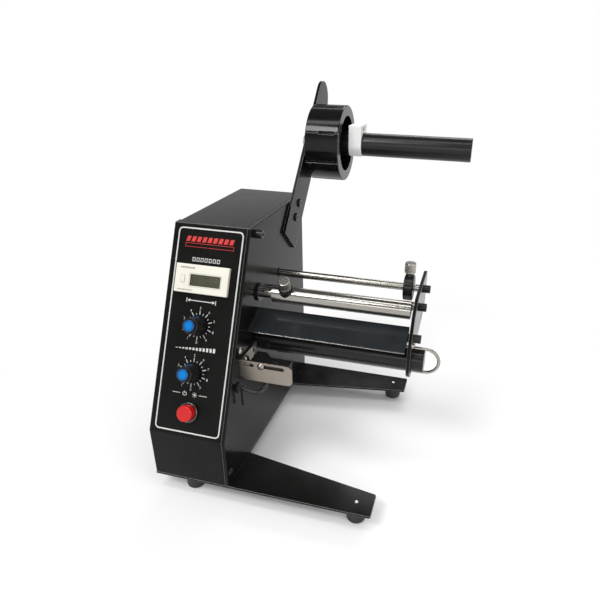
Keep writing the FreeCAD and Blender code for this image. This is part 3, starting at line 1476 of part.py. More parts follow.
def rounded_route(points):
    # Straight runs joined by arcs that touch both runs.
    nodes = [Vector(*p) for p in points]
    edges = []
    start = nodes[0]
    for before, corner, after in zip(nodes, nodes[1:], nodes[2:]):
        to_before = before - corner
        to_after = after - corner
        turn = math.pi - to_before.getAngle(to_after)
        reach = arc_reach_share * min(to_before.Length, to_after.Length)
        radius = reach / math.tan(turn / 2)
        print("cable arc radius", round(radius, 1), "turn", round(math.degrees(turn)))
        first = corner + to_before.normalize() * reach
        last = corner + to_after.normalize() * reach
        bisector = (to_before + to_after).normalize()
        centre = corner + bisector * math.hypot(reach, radius)
        middle = centre - bisector * radius
        edges.append(Part.LineSegment(start, first).toShape())
        edges.append(Part.Arc(first, middle, last).toShape())
        start = last
    edges.append(Part.LineSegment(start, nodes[-1]).toShape())
    return Part.Wire(edges)


def sensor_cable():
    route = rounded_route(cable_points)
    first = Vector(*cable_points[0])
    direction = Vector(*cable_points[1]) - first
    section = Part.Wire(Part.makeCircle(cable_radius, first, direction))
    tube = route.makePipeShell([section], True, False)
    print("cable volume share", round(tube.Volume / (math.pi * cable_radius ** 2 * route.Length), 3))
    return tube


def cable_grommet():
    _, y, z = cable_points[0]
    neck_radius = grommet_radius - panel_sheet - fit_clearance
    flange = rod_x(wall_face_x, cable_points[0][0] - panel_sheet, y, z, grommet_radius)
    neck = rod_x(wall_face_x - grommet_inside, wall_face_x, y, z, neck_radius)
    nose = rod_x(cable_points[0][0] - panel_sheet, cable_points[0][0], y, z, cable_radius + panel_sheet / 2)
    first = Vector(*cable_points[0])
    direction = Vector(*cable_points[1]) - first
    body = flange.fuse([neck, nose]).removeSplitter()
    clear = Part.makeCylinder(2 * grommet_radius, overrun, first, direction)
    return body.cut(clear)


def cable_tie():
    first = Vector(*cable_points[0])
    second = Vector(*cable_points[1])
    direction = (second - first).normalize()
    share = (tie_x - first.x) / (second.x - first.x)
    centre = first + (second - first) * share
    outer = Part.makeCylinder(tie_ring_radius, tie_width, centre - direction * (tie_width / 2), direction)
    tail = box(centre.x - tie_width / 2, centre.y - tie_ring_radius, centre.z - tie_tail_length,
               centre.x + tie_width / 2, centre.y - tie_ring_radius + tie_tail_sheet, centre.z)
    inner = Part.makeCylinder(cable_radius + fit_clearance, 3 * tie_width,
                              centre - direction * (3 * tie_width / 2), direction)
    return outer.fuse(tail).cut(inner).removeSplitter()


pieces = {
    "base_plate": base_plate,
    "rubber_feet": rubber_feet,
    "foot_screws": foot_screws,
    "frame_wall": frame_wall,
    "cover": cover,
    "front_panel": front_panel,
    "counter_bezel": counter_bezel,
    "counter_window": counter_window,
    "counter_body": counter_body,
    "length_knob": lambda: knob(length_drop),
    "length_knob_cap": lambda: knob_cap(length_drop),
    "length_pot": lambda: potentiometer(length_drop),
    "length_pot_shaft": lambda: pot_shaft(length_drop),
    "speed_knob": lambda: knob(speed_drop),
    "speed_knob_cap": lambda: knob_cap(speed_drop),
    "speed_pot": lambda: potentiometer(speed_drop),
    "speed_pot_shaft": lambda: pot_shaft(speed_drop),
    "hex_nuts": hex_nuts,
    "power_button": power_button,
    "button_bezel": button_bezel,
    "switch_body": switch_body,
    "roll_arm": roll_arm,
    "core_wheel": core_wheel,
    "roller_tube": roller_tube,
    "roller_bushings": roller_bushings,
    "roller_axle": roller_axle,
    "roll_fixator": roll_fixator,
    "guide_rod": guide_rod,
    "tie_rod": tie_rod,
    "guide_bar": guide_bar,
    "rod_collars": rod_collars,
    "ring_guide": ring_guide,
    "ring_thumb_screw": ring_thumb_screw,
    "guide_tube": guide_tube,
    "saddle_washer": saddle_washer,
    "tube_thumb_screw": tube_thumb_screw,
    "peel_plate": peel_plate,
    "outer_plate": outer_plate,
    "black_screws": black_screws,
    "rewind_shaft": rewind_shaft,
    "rewind_clip": rewind_clip,
    "shaft_screw": shaft_screw,
    "rewind_bearing": rewind_bearing,
    "rewind_gear": rewind_gear,
    "motor_pinion": motor_pinion,
    "motor_shaft": motor_shaft,
    "gearbox": gearbox,
    "rewind_motor": rewind_motor,
    "motor_bracket": motor_bracket,
    "control_board": control_board,
    "board_parts": board_parts,
    "board_standoffs": board_standoffs,
    "power_gland": power_gland,
    "sensor_bracket": sensor_bracket,
    "label_sensor": label_sensor,
    "chrome_screws": chrome_screws,
    "sensor_cable": sensor_cable,
    "cable_grommet": cable_grommet,
    "cable_tie": cable_tie,
}


def main():
    os.makedirs("parts", exist_ok=True)
    for name, make in pieces.items():
        shape = make()
        shape.translate(Vector(-origin_x, -origin_y, -origin_z))
        shape.exportStep("parts/" + name + ".step")


main()
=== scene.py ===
import json
import math

import bmesh
import bpy
from mathutils import Matrix, Vector


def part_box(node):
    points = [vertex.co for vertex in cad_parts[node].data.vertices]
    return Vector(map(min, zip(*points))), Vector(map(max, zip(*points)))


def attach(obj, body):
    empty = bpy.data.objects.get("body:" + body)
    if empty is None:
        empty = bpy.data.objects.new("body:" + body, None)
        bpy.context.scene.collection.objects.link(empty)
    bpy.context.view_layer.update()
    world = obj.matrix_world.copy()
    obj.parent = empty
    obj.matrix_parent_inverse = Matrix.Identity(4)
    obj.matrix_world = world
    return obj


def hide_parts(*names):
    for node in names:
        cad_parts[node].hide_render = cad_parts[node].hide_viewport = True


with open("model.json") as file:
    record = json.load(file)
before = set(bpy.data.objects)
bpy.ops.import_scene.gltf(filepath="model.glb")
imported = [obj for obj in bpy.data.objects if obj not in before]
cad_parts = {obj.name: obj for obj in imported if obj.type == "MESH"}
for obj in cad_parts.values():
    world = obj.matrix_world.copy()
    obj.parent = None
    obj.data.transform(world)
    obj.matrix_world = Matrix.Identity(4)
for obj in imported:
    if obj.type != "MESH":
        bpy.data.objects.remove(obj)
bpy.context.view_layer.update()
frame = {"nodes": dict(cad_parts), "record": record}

# A desktop label dispenser. Metres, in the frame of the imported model.

nodes = frame["nodes"]
record = frame["record"]
MM = 0.001

# Camera, fitted to the straight edges of the photograph
IMAGE_PIXELS = 600
SENSOR_WIDTH_MM = 36
FOCAL_PIXELS = 521.706
CENTRE_PIXELS = (344.805, 300.622)
CAMERA_PLACE = (0.126434, -0.445664, 0.352345)
CAMERA_YAW = -0.245
CAMERA_PITCH = 0.442
CAMERA_ROLL = 0.018

# The sloped panel: its top edge lies this far behind and above its crease
PANEL_RUN = 77.5
PANEL_RISE = 159.5
PANEL_LOW, PANEL_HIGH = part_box("front_panel")
PANEL_SLOPE = math.atan2(PANEL_RUN, PANEL_RISE)
PANEL_OUT = Vector((0, -math.cos(PANEL_SLOPE), math.sin(PANEL_SLOPE)))
PANEL_UP = Vector((0, math.sin(PANEL_SLOPE), math.cos(PANEL_SLOPE)))

# Studio: the world lights surfaces at one level; in reflections its dome fades from 1 at the horizon to a
# lower level overhead; the paper floor turns white between two distances in metres
WORLD_LEVEL = 0.5
DOME_LEVEL = 0.14
DOME_LOW, DOME_HIGH = 0.08, 0.48
FLOOR_NEAR, FLOOR_FAR = 0.12, 0.40
FLOOR_REACH = 8.0
FLOOR_CLOUDS = 3
FLOOR_TONES = ((0.92, 0.92, 0.92), (0.94, 0.94, 0.94))
MIDDLE = (0, 0, 0.15)

# Softboxes: name, place, target, width and height in metres, power in watts
SOFTBOXES = (
    ("key", (-0.7, -1.2, 1.75), MIDDLE, (0.8, 0.5), 17),
    ("fill", (1.6, -0.8, 1.1), MIDDLE, (0.9, 0.9), 6),
    ("rim", (0.2, 1.6, 1.6), MIDDLE, (1.4, 0.5), 12),
    ("strip", (0.15, -0.25, 1.4), (0.1, 0.03, 0.15), (1.5, 0.24), 4.5),
    ("front", (0.3, -1.6, 0.74), (0.1, 0.09, 0.26), (1.4, 0.3), 4),
)

# Print on the panel, in millimetres from its left edge and down from its top edge
INK = 0.06
BORDER_LEFT, BORDER_RIGHT = 4.8, 63.9
BORDER_TOP, BORDER_BOTTOM = 3.2, 174.0
BORDER_RADIUS = 4.0
BORDER_WIDTH = 1.2
STRIPE_LEFT, STRIPE_RIGHT = 12.5, 56.5
STRIPE_TOP, STRIPE_BOTTOM = 10.4, 19.5
CONTROL_X = 33.3
CAP_BLUE_RADIUS = 4.6
LENGTH_DROP, SPEED_DROP = 83.9, 123.4
COUNTER_X, COUNTER_DROP = 32.2, 45.9
SIGN_X = 33.0
COUNTER_SIGN_DROP = 29.6
LENGTH_SIGN_DROP = 63.8
SPEED_SIGN_DROP = 103.0
POWER_SIGN_DROP = 141.4
MARK_START, MARK_END = 9.0, 12.4
SHORT_MARK_END = 10.4
LONG_MARK_WIDTH, SHORT_MARK_WIDTH = 0.7, 0.6
NUMBER_RADIUS = 14.3
NUMBER_HEIGHT = 2.3
MARK_COUNT = 10
TOP_NUMBER = 5
FONT_SIZE = 1.35  # of a digit's height

# Counter face: lifts are heights over the panel
FACE_LIFT = 3.2
WINDOW_SHIFT, WINDOW_DROP = 3.6, 1.0
KEY_SHIFT, KEY_DROP = -16.6, 0.8
DISPLAY_WIDTH, DISPLAY_HEIGHT = 27.2, 9.4
DISPLAY_LIFT = 2.2
DIGIT_COUNT = 8
SEGMENT_GAP = 0.15  # of a segment's width
FINE_INK = 0.03
FINE_LINE, FINE_ROUND = 0.25, 0.2
KEY_LINE = (1.9, 3.3, 0.9)  # half width, half height, corner radius
WINDOW_LINE = (14.6, 5.7, 0.8)


# Meshes and places

def panel_matrix(x, drop, lift=0.0):
    """Millimetres on the panel to the frame: X right, Y up the slope, Z out of the panel."""
    spot = Vector((PANEL_LOW.x + x * MM, PANEL_LOW.y + PANEL_RUN * MM, PANEL_HIGH.z))
    spot += PANEL_UP * (-drop * MM) + PANEL_OUT * (lift * MM)
    turn = Matrix((Vector((1, 0, 0)), PANEL_UP, PANEL_OUT)).transposed().to_4x4()
    return Matrix.Translation(spot) @ turn @ Matrix.Diagonal((MM, MM, MM, 1))


def add_object(name, data, body, material=None):
    piece = bpy.data.objects.new(name, data)
    bpy.context.scene.collection.objects.link(piece)
    if material:
        data.materials.append(material)
    if body:
        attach(piece, body)
    return piece


def mesh_of(source):
    """The mesh of a curve or text, with the source removed."""
    bpy.context.view_layer.update()
    graph = bpy.context.evaluated_depsgraph_get()
    mesh = bpy.data.meshes.new_from_object(source.evaluated_get(graph))
    bpy.data.objects.remove(source)
    return mesh


def outline_mesh(outlines, thickness, edge=0.0):
    """A flat shape from closed outlines, holes by even and odd, standing on Z = 0."""
    curve = bpy.data.curves.new("outline", "CURVE")
    curve.dimensions = "2D"
    curve.fill_mode = "BOTH"
    curve.extrude = thickness / 2
    curve.bevel_depth = edge
    curve.bevel_resolution = 1
    for points in outlines:
        spline = curve.splines.new("POLY")
        spline.points.add(len(points) - 1)
        for point, (x, y) in zip(spline.points, points):
            point.co = (x, y, 0, 1)
        spline.use_cyclic_u = True
    source = bpy.data.objects.new("outline", curve)
    bpy.context.scene.collection.objects.link(source)
    mesh = mesh_of(source)
    mesh.transform(Matrix.Translation((0, 0, thickness / 2)))
    return mesh


def text_mesh(body, height, thickness):
    curve = bpy.data.curves.new("number", "FONT")
    curve.body = body
    curve.size = height * FONT_SIZE
    curve.align_x = "CENTER"
    curve.align_y = "CENTER"
    curve.extrude = thickness / 2
    source = bpy.data.objects.new("number", curve)
    bpy.context.scene.collection.objects.link(source)
    mesh = mesh_of(source)
    mesh.transform(Matrix.Translation((0, 0, thickness / 2)))
    return mesh


def join_meshes(meshes):
    joined = bmesh.new()
    for mesh in meshes:
        joined.from_mesh(mesh)
        bpy.data.meshes.remove(mesh)
    result = bpy.data.meshes.new("joined")
    joined.to_mesh(result)
    joined.free()
    return result


def rounded_rectangle(x0, y0, x1, y1, radius, steps=8):
    points = []
    corners = ((x1 - radius, y1 - radius, 0), (x0 + radius, y1 - radius, 90),
               (x0 + radius, y0 + radius, 180), (x1 - radius, y0 + radius, 270))
    for cx, cy, start in corners:
        for i in range(steps + 1):
            angle = math.radians(start + 90 * i / steps)
            points.append((cx + radius * math.cos(angle), cy + radius * math.sin(angle)))
    return points


def rectangle(x0, y0, x1, y1):
    return [(x0, y0), (x1, y0), (x1, y1), (x0, y1)]


def open_box(x0, y0, x1, y1, side, end):
    """The outer and inner outline of a box, with the widths of its upright and level lines."""
    return [rectangle(x0, y0, x1, y1), rectangle(x0 + side, y0 + end, x1 - side, y1 - end)]


def rounded_frame(x0, y0, x1, y1, radius, width, inner_radius):
    """The outer and inner outline of a frame with round corners."""
    return [rounded_rectangle(x0, y0, x1, y1, radius),
            rounded_rectangle(x0 + width, y0 + width, x1 - width, y1 - width, inner_radius)]


def circle(x, y, radius, steps=40):
    angles = [2 * math.pi * i / steps for i in range(steps)]
    return [(x + radius * math.cos(a), y + radius * math.sin(a)) for a in angles]


def bar(angle, start, end, width):
    """A radial bar from start to end, in the direction of the angle."""
    along = Vector((math.cos(angle), math.sin(angle)))
    side = Vector((-along.y, along.x)) * (width / 2)
    corners = (along * start - side, along * end - side, along * end + side, along * start + side)
    return [(corner.x, corner.y) for corner in corners]


def printed(name, outlines, x, drop, material, thickness=INK, lift=0.0):
    mesh = outline_mesh(outlines, thickness)
    mesh.transform(panel_matrix(x, drop, lift))
    mesh.name = name
    add_object(name, mesh, "frame", material)


# Finishes

COAT_CLOUDS, COAT_PATCHES, METAL_CLOUDS, GLASS_SMEARS = 35, 90, 25, 120
EDGE_SAMPLES, ROUND_SAMPLES = 12, 6
EDGE_GAIN = 0.8
EDGE_TURN = (0.75, 0.985)
# Knob caps: a painted shade that darkens the blue towards its edge, and the black of the rim
CAP_SHADE_TONE, CAP_RIM = (0.001, 0.05, 0.20), (0.010, 0.012, 0.016)
CAP_SHADE_SHARE = 0.75
CAP_SHADE_START = 0.45  # of the radius of the blue
CAP_RIM_BAND = (0.98, 1.02)
BARE_TONE = (0.30, 0.295, 0.285)
BARE_FRONT, BARE_LEFT = (0.0008, 0.0010), (0.0008, 0.0011)

# Paint, plastic, rubber and ink: the two tones of the clouding, the range of the roughness, the scale of
# the grain and its depth in metres, the tone of the lighter edges, partly rubbed wear and partly painted
# highlight, and their radius in metres
COATINGS = {
    # The edge tones of black_paint and panel_film are painted highlights along the sheets' bent and cut
    # edges.
    "black_paint": dict(
        tones=((0.0050, 0.0050, 0.0047), (0.0080, 0.0080, 0.0075)), rough=(0.14, 0.24),
        grain=1400, depth=7e-6, edge_tone=(0.42, 0.42, 0.41), edge_radius=0.0009, ior=1.22),
    "panel_film": dict(
        tones=((0.0050, 0.0050, 0.0046), (0.0080, 0.0080, 0.0075)), rough=(0.24, 0.32),
        grain=2200, depth=5e-6, edge_tone=(0.42, 0.42, 0.41), edge_radius=0.0010, ior=1.22),
    "black_anodised": dict(
        tones=((0.006, 0.006, 0.0064), (0.010, 0.010, 0.0105)), rough=(0.20, 0.30),
        grain=2500, depth=5e-6, edge_tone=(0.06, 0.06, 0.062), edge_radius=0.0004, ior=1.4),
    "ivory_plastic": dict(
        tones=((0.80, 0.77, 0.68), (0.86, 0.83, 0.74)), rough=(0.36, 0.46), grain=2600, depth=6e-6),
    "black_plastic": dict(
        tones=((0.007, 0.007, 0.007), (0.012, 0.012, 0.012)), rough=(0.26, 0.38),
        grain=2000, depth=1e-5, edge_tone=(0.05, 0.05, 0.05), edge_radius=0.0004, ior=1.4),
    # The edge tone of wheel_plastic is a painted highlight round the rims of the wheel.
    "wheel_plastic": dict(
        tones=((0.004, 0.004, 0.0044), (0.007, 0.007, 0.0075)), rough=(0.10, 0.18), grain=900, depth=2e-6,
        edge_tone=(0.45, 0.45, 0.45), edge_radius=0.0008, ior=1.35, rounded=False),
    "black_gloss": dict(
        tones=((0.004, 0.004, 0.0040), (0.007, 0.007, 0.0068)), rough=(0.27, 0.32), grain=300, depth=5e-7,
        edge_tone=(0.08, 0.08, 0.08), edge_radius=0.0004, ior=1.42, rounded=False),
    "blue_plastic": dict(
        tones=((0.0005, 0.18, 0.58), (0.001, 0.21, 0.66)), rough=(0.14, 0.22),
        grain=2000, depth=4e-6, edge_tone=(0.03, 0.32, 0.80), edge_radius=0.0004, ior=1.35),
    "red_plastic": dict(
        tones=((0.56, 0.007, 0.008), (0.65, 0.011, 0.012)), rough=(0.14, 0.22),
        grain=2000, depth=5e-6, edge_tone=(0.78, 0.04, 0.04), edge_radius=0.0005),
    "white_plastic": dict(
        tones=((0.93, 0.925, 0.905), (0.96, 0.955, 0.94)), rough=(0.34, 0.44), grain=2400, depth=8e-6),
    "black_rubber": dict(
        tones=((0.014, 0.014, 0.014), (0.024, 0.024, 0.024)), rough=(0.55, 0.70),
        grain=1500, depth=3e-5, edge_tone=(0.05, 0.05, 0.05), edge_radius=0.0006),
    "cable_sheath": dict(
        tones=((0.014, 0.014, 0.0145), (0.022, 0.022, 0.0225)), rough=(0.18, 0.28), grain=1800, depth=6e-6),
    "gear_plastic": dict(
        tones=((0.66, 0.63, 0.52), (0.74, 0.71, 0.60)), rough=(0.36, 0.46), grain=2000, depth=8e-6),
    "board_green": dict(
        tones=((0.014, 0.13, 0.04), (0.02, 0.17, 0.06)), rough=(0.26, 0.34), grain=2000, depth=6e-6),
    "peel_paint": dict(
        tones=((0.014, 0.017, 0.019), (0.022, 0.026, 0.029)), rough=(0.14, 0.20),
        grain=1400, depth=6e-6, ior=1.35),
    "display_face": dict(
        tones=((0.125, 0.115, 0.075), (0.16, 0.15, 0.10)), rough=(0.30, 0.38), grain=3000, depth=3e-6),
    "display_ink": dict(
        tones=((0.065, 0.06, 0.04), (0.08, 0.074, 0.05)), rough=(0.30, 0.38), grain=3000, depth=3e-6),
    "white_ink": dict(
        tones=((0.66, 0.66, 0.64), (0.74, 0.74, 0.72)), rough=(0.36, 0.46), grain=5000, depth=3e-6),
    "red_ink": dict(
        tones=((0.55, 0.02, 0.02), (0.68, 0.035, 0.035)), rough=(0.36, 0.46), grain=5000, depth=3e-6),
    "grey_ink": dict(
        tones=((0.30, 0.30, 0.27), (0.38, 0.38, 0.34)), rough=(0.36, 0.46), grain=5000, depth=3e-6),
}
COATINGS["blue_cap"] = COATINGS["blue_plastic"]

# Metals: the same, with the stretch of the streaks along X, Y and Z
METALS = {
    "chrome": dict(
        tones=((0.36, 0.342, 0.31), (0.45, 0.43, 0.392)), rough=(0.17, 0.24),
        stretch=(0.2, 1, 1), grain=110, depth=2e-7, edge_radius=None),
    "bright_steel": dict(
        tones=((0.50, 0.48, 0.44), (0.58, 0.56, 0.52)), rough=(0.22, 0.34),
        stretch=(1, 1, 6), grain=500, depth=1e-5),
    "bracket_steel": dict(
        tones=((0.31, 0.275, 0.235), (0.37, 0.33, 0.285)), rough=(0.30, 0.44),
        stretch=(1, 14, 14), grain=300, depth=1e-5),
    "dark_ring": dict(
        tones=((0.10, 0.10, 0.098), (0.14, 0.14, 0.137)), rough=(0.16, 0.26),
        stretch=(1, 1, 1), grain=400, depth=4e-6),
    "zinc": dict(
        tones=((0.45, 0.44, 0.40), (0.55, 0.53, 0.47)), rough=(0.30, 0.45),
        stretch=(1, 1, 1), grain=300, depth=8e-6),
    "steel": dict(
        tones=((0.42, 0.42, 0.42), (0.50, 0.50, 0.50)), rough=(0.18, 0.30),
        stretch=(6, 1, 1), grain=500, depth=6e-6),
    "brass": dict(
        tones=((0.56, 0.42, 0.18), (0.64, 0.50, 0.24)), rough=(0.22, 0.34),
        stretch=(6, 1, 1), grain=400, depth=6e-6),
}


# Materials

def new_material(name):
    material = bpy.data.materials.new(name)
    material.use_nodes = True
    tree = material.node_tree
    return material, tree, tree.nodes["Principled BSDF"]


def add_node(tree, kind, inputs=None, **settings):
    made = tree.nodes.new(kind)
    for key, value in settings.items():
        setattr(made, key, value)
    for key, value in (inputs or {}).items():
        made.inputs[key].default_value = value
    return made


def place_noise(tree, scale, detail, stretch=(1, 1, 1)):
    """Noise on the place in the frame; the scale counts features in a metre."""
    place = add_node(tree, "ShaderNodeTexCoord")
    mapping = add_node(tree, "ShaderNodeMapping", {"Scale": stretch})
    noise = add_node(tree, "ShaderNodeTexNoise", {"Scale": scale, "Detail": detail})
    tree.links.new(place.outputs["Object"], mapping.inputs["Vector"])
    tree.links.new(mapping.outputs["Vector"], noise.inputs["Vector"])
    return noise.outputs["Fac"]


def mapped(tree, value, low, high, from_low=0.3, from_high=0.7):
    made = add_node(tree, "ShaderNodeMapRange", {"From Min": from_low, "From Max": from_high,
                                                 "To Min": low, "To Max": high})
    tree.links.new(value, made.inputs["Value"])
    return made.outputs["Result"]


def mix_colors(tree, factor, first, second):
    made = add_node(tree, "ShaderNodeMix", data_type="RGBA")
    for socket, value in ((made.inputs[0], factor), (made.inputs[6], first), (made.inputs[7], second)):
        if isinstance(value, bpy.types.NodeSocket):
            tree.links.new(value, socket)
        else:
            socket.default_value = (*value, 1)
    return made.outputs[2]


def edge_mask(tree, radius):
    """The edge gain along the edges of a piece and 0 on its faces."""
    bevel = add_node(tree, "ShaderNodeBevel", {"Radius": radius}, samples=EDGE_SAMPLES)
    geometry = add_node(tree, "ShaderNodeNewGeometry")
    dot = add_node(tree, "ShaderNodeVectorMath", operation="DOT_PRODUCT")
    tree.links.new(bevel.outputs["Normal"], dot.inputs[0])
    tree.links.new(geometry.outputs["Normal"], dot.inputs[1])
    return mapped(tree, dot.outputs["Value"], EDGE_GAIN, 0.0, *EDGE_TURN)


def bumped(tree, shader, height, depth, edge_radius):
    """The grain as relief, and edges that catch light as if rounded where a radius is given."""
    bump = add_node(tree, "ShaderNodeBump", {"Strength": 1.0, "Distance": depth})
    tree.links.new(height, bump.inputs["Height"])
    if edge_radius:
        bevel = add_node(tree, "ShaderNodeBevel", {"Radius": edge_radius}, samples=ROUND_SAMPLES)
        tree.links.new(bevel.outputs["Normal"], bump.inputs["Normal"])
    tree.links.new(bump.outputs["Normal"], shader.inputs["Normal"])


def coated(name, tones, rough, grain, depth, edge_tone=None, edge_radius=0.0006, ior=1.5, rounded=True):
    """Paint or moulded plastic: cloudy colour, uneven gloss, a fine skin and lighter edges, partly rubbed
    wear and partly a painted highlight.
    """
    material, tree, shader = new_material(name)
    shader.inputs["IOR"].default_value = ior
    cloud = place_noise(tree, COAT_CLOUDS, 6.0)
    tone = mix_colors(tree, mapped(tree, cloud, 0, 1), *tones)
    # Edges lighter than the faces: partly rubbed wear, partly a painted highlight.
    if edge_tone:
        tone = mix_colors(tree, edge_mask(tree, edge_radius), tone, edge_tone)
    tree.links.new(tone, shader.inputs["Base Color"])
    patches = place_noise(tree, COAT_PATCHES, 3.0)
    tree.links.new(mapped(tree, patches, *rough), shader.inputs["Roughness"])
    skin = place_noise(tree, grain, 2.0)
    bumped(tree, shader, skin, depth, edge_radius if rounded else None)
    return material


def metal(name, tones, rough, stretch, grain, depth, edge_radius=0.0004):
    """Bare or plated metal with fine streaks left by its making."""
    material, tree, shader = new_material(name)
    shader.inputs["Metallic"].default_value = 1.0
    cloud = place_noise(tree, METAL_CLOUDS, 5.0)
    tree.links.new(mix_colors(tree, mapped(tree, cloud, 0, 1), *tones), shader.inputs["Base Color"])
    streaks = place_noise(tree, grain, 3.0, stretch)
    tree.links.new(mapped(tree, streaks, *rough), shader.inputs["Roughness"])
    bumped(tree, shader, streaks, depth, edge_radius)
    return material


def display_glass():
    material, tree, shader = new_material("display_glass")
    shader.inputs["Transmission Weight"].default_value = 1.0
    shader.inputs["IOR"].default_value = 1.35
    smear = place_noise(tree, GLASS_SMEARS, 3.0)
    tree.links.new(mapped(tree, smear, 0.03, 0.09), shader.inputs["Roughness"])
    tint = mix_colors(tree, mapped(tree, smear, 0, 1), (0.86, 0.88, 0.82), (0.92, 0.93, 0.88))
    tree.links.new(tint, shader.inputs["Base Color"])
    return material


def paint_cap_shade(material):
    """Painted shade on a knob cap: blue that darkens outwards and ends in black, by the distance from the
    knob's axis.
    """
    tree = material.node_tree
    shader = tree.nodes["Principled BSDF"]
    place = add_node(tree, "ShaderNodeTexCoord")
    reaches = []
    for drop in (LENGTH_DROP, SPEED_DROP):
        centre = panel_matrix(CONTROL_X, drop).translation
        offset = add_node(tree, "ShaderNodeVectorMath", {1: centre}, operation="SUBTRACT")
        tree.links.new(place.outputs["Object"], offset.inputs[0])
        across = add_node(tree, "ShaderNodeVectorMath", {1: PANEL_OUT}, operation="CROSS_PRODUCT")
        tree.links.new(offset.outputs["Vector"], across.inputs[0])
        reach = add_node(tree, "ShaderNodeVectorMath", operation="LENGTH")
        tree.links.new(across.outputs["Vector"], reach.inputs[0])
        reaches.append(reach.outputs["Value"])
    nearest = add_node(tree, "ShaderNodeMath", operation="MINIMUM")
    tree.links.new(reaches[0], nearest.inputs[0])
    tree.links.new(reaches[1], nearest.inputs[1])
    radius = CAP_BLUE_RADIUS * MM
    cap_shade = mapped(tree, nearest.outputs["Value"], 0.0, CAP_SHADE_SHARE, radius * CAP_SHADE_START, radius)
    rim = mapped(tree, nearest.outputs["Value"], 0.0, 1.0, *(radius * share for share in CAP_RIM_BAND))
    blue = shader.inputs["Base Color"].links[0].from_socket
    # painted shade: the blue darkens outwards from the knob's axis
    shaded_blue = mix_colors(tree, cap_shade, blue, CAP_SHADE_TONE)
    tree.links.new(mix_colors(tree, rim, shaded_blue, CAP_RIM), shader.inputs["Base Color"])


def bare_edges(material):
    """Paint that ends in a bare bright edge along the front and the left end of the peel plate."""
    tree = material.node_tree
    shader = tree.nodes["Principled BSDF"]
    low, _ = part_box("peel_plate")
    place = add_node(tree, "ShaderNodeTexCoord")
    axes = add_node(tree, "ShaderNodeSeparateXYZ")
    tree.links.new(place.outputs["Object"], axes.inputs["Vector"])
    front = mapped(tree, axes.outputs["Y"], 1.0, 0.0, *(low.y + reach for reach in BARE_FRONT))
    left = mapped(tree, axes.outputs["X"], 1.0, 0.0, *(low.x + reach for reach in BARE_LEFT))
    bare = add_node(tree, "ShaderNodeMath", operation="MAXIMUM")
    tree.links.new(front, bare.inputs[0])
    tree.links.new(left, bare.inputs[1])
    painted = shader.inputs["Base Color"].links[0].from_socket
    tone = mix_colors(tree, bare.outputs["Value"], painted, BARE_TONE)
    tree.links.new(tone, shader.inputs["Base Color"])
    tree.links.new(bare.outputs["Value"], shader.inputs["Metallic"])


def make_materials():
    made = {name: coated(name, **values) for name, values in COATINGS.items()}
    made.update((name, metal(name, **values)) for name, values in METALS.items())
    made["display_glass"] = display_glass()
    paint_cap_shade(made["blue_cap"])
    bare_edges(made["peel_paint"])
    return made


def dress_nodes(made):
    """Every node of the frame gets the finish of its slot, and a few nodes one of their own."""
    own_finish = {"peel_plate": "peel_paint", "button_bezel": "dark_ring", "shaft_screw": "black_anodised",
                  "length_knob_cap": "blue_cap", "speed_knob_cap": "blue_cap"}
    for row in record["subparts"]:
        name = row["node"]
        for slot in nodes[name].material_slots:
            slot.material = made[own_finish.get(name, row["material_slot"])]


# Print on the panel

def panel_print(made):
    white = made["white_ink"]
    border = rounded_frame(BORDER_LEFT, -BORDER_BOTTOM, BORDER_RIGHT, -BORDER_TOP, BORDER_RADIUS,
                           BORDER_WIDTH, BORDER_RADIUS - BORDER_WIDTH)
    printed("panel_border", border, 0, 0, white)
    printed("red_stripes", stripe_band(), 0, 0, made["red_ink"])
    for name, drop in (("length_scale", LENGTH_DROP), ("speed_scale", SPEED_DROP)):
        dial_scale(name, drop, white)
    for name, outlines, drop in (("counter_sign", counter_sign(), COUNTER_SIGN_DROP),
                                 ("length_sign", length_sign(), LENGTH_SIGN_DROP),
                                 ("speed_sign", speed_sign(), SPEED_SIGN_DROP),
                                 ("power_sign", power_sign(), POWER_SIGN_DROP)):
        printed(name, outlines, SIGN_X, drop, white)


def stripe_band():
    """Plain slanted blocks over a thin open bar."""
    count, line = 9, 0.45
    block_share, lean_share, split_share, gap_share = 0.7, 0.28, 0.5, 0.12
    height = STRIPE_BOTTOM - STRIPE_TOP
    split = STRIPE_TOP + height * split_share
    pitch = (STRIPE_RIGHT - STRIPE_LEFT) / count
    lean = pitch * lean_share
    outlines = []
    for i in range(count):
        x0 = STRIPE_LEFT + i * pitch
        x1 = x0 + pitch * block_share
        outlines.append([(x0, -split), (x1, -split), (x1 + lean, -STRIPE_TOP), (x0 + lean, -STRIPE_TOP)])
    bar_top = split + height * gap_share
    return outlines + open_box(STRIPE_LEFT, -STRIPE_BOTTOM, STRIPE_RIGHT, -bar_top, line, line)


def dial_scale(name, drop, material):
    """Ten long marks with plain numbers and a short mark between each two."""
    outlines = []
    numbers = []
    half_step = math.radians(180 / MARK_COUNT)
    for i in range(MARK_COUNT):
        angle = math.radians(90 - 360 * i / MARK_COUNT)
        outlines.append(bar(angle, MARK_START, MARK_END, LONG_MARK_WIDTH))
        outlines.append(bar(angle - half_step, MARK_START, SHORT_MARK_END, SHORT_MARK_WIDTH))
        number = text_mesh(str((i + TOP_NUMBER) % MARK_COUNT), NUMBER_HEIGHT, INK)
        place = (NUMBER_RADIUS * math.cos(angle), NUMBER_RADIUS * math.sin(angle), 0)
        number.transform(Matrix.Translation(place))
        numbers.append(number)
    mesh = join_meshes([outline_mesh(outlines, INK)] + numbers)
    mesh.transform(panel_matrix(CONTROL_X, drop))
    mesh.name = name
    add_object(name, mesh, "frame", material)


def counter_sign():
    """A row of seven small open boxes."""
    outlines = []
    count, width, height, gap, line = 7, 2.7, 3.4, 1.0, 0.6
    for i in range(count):
        x = (i - count / 2) * (width + gap) + gap / 2
        outlines += open_box(x, -height / 2, x + width, height / 2, line, line)
    return outlines


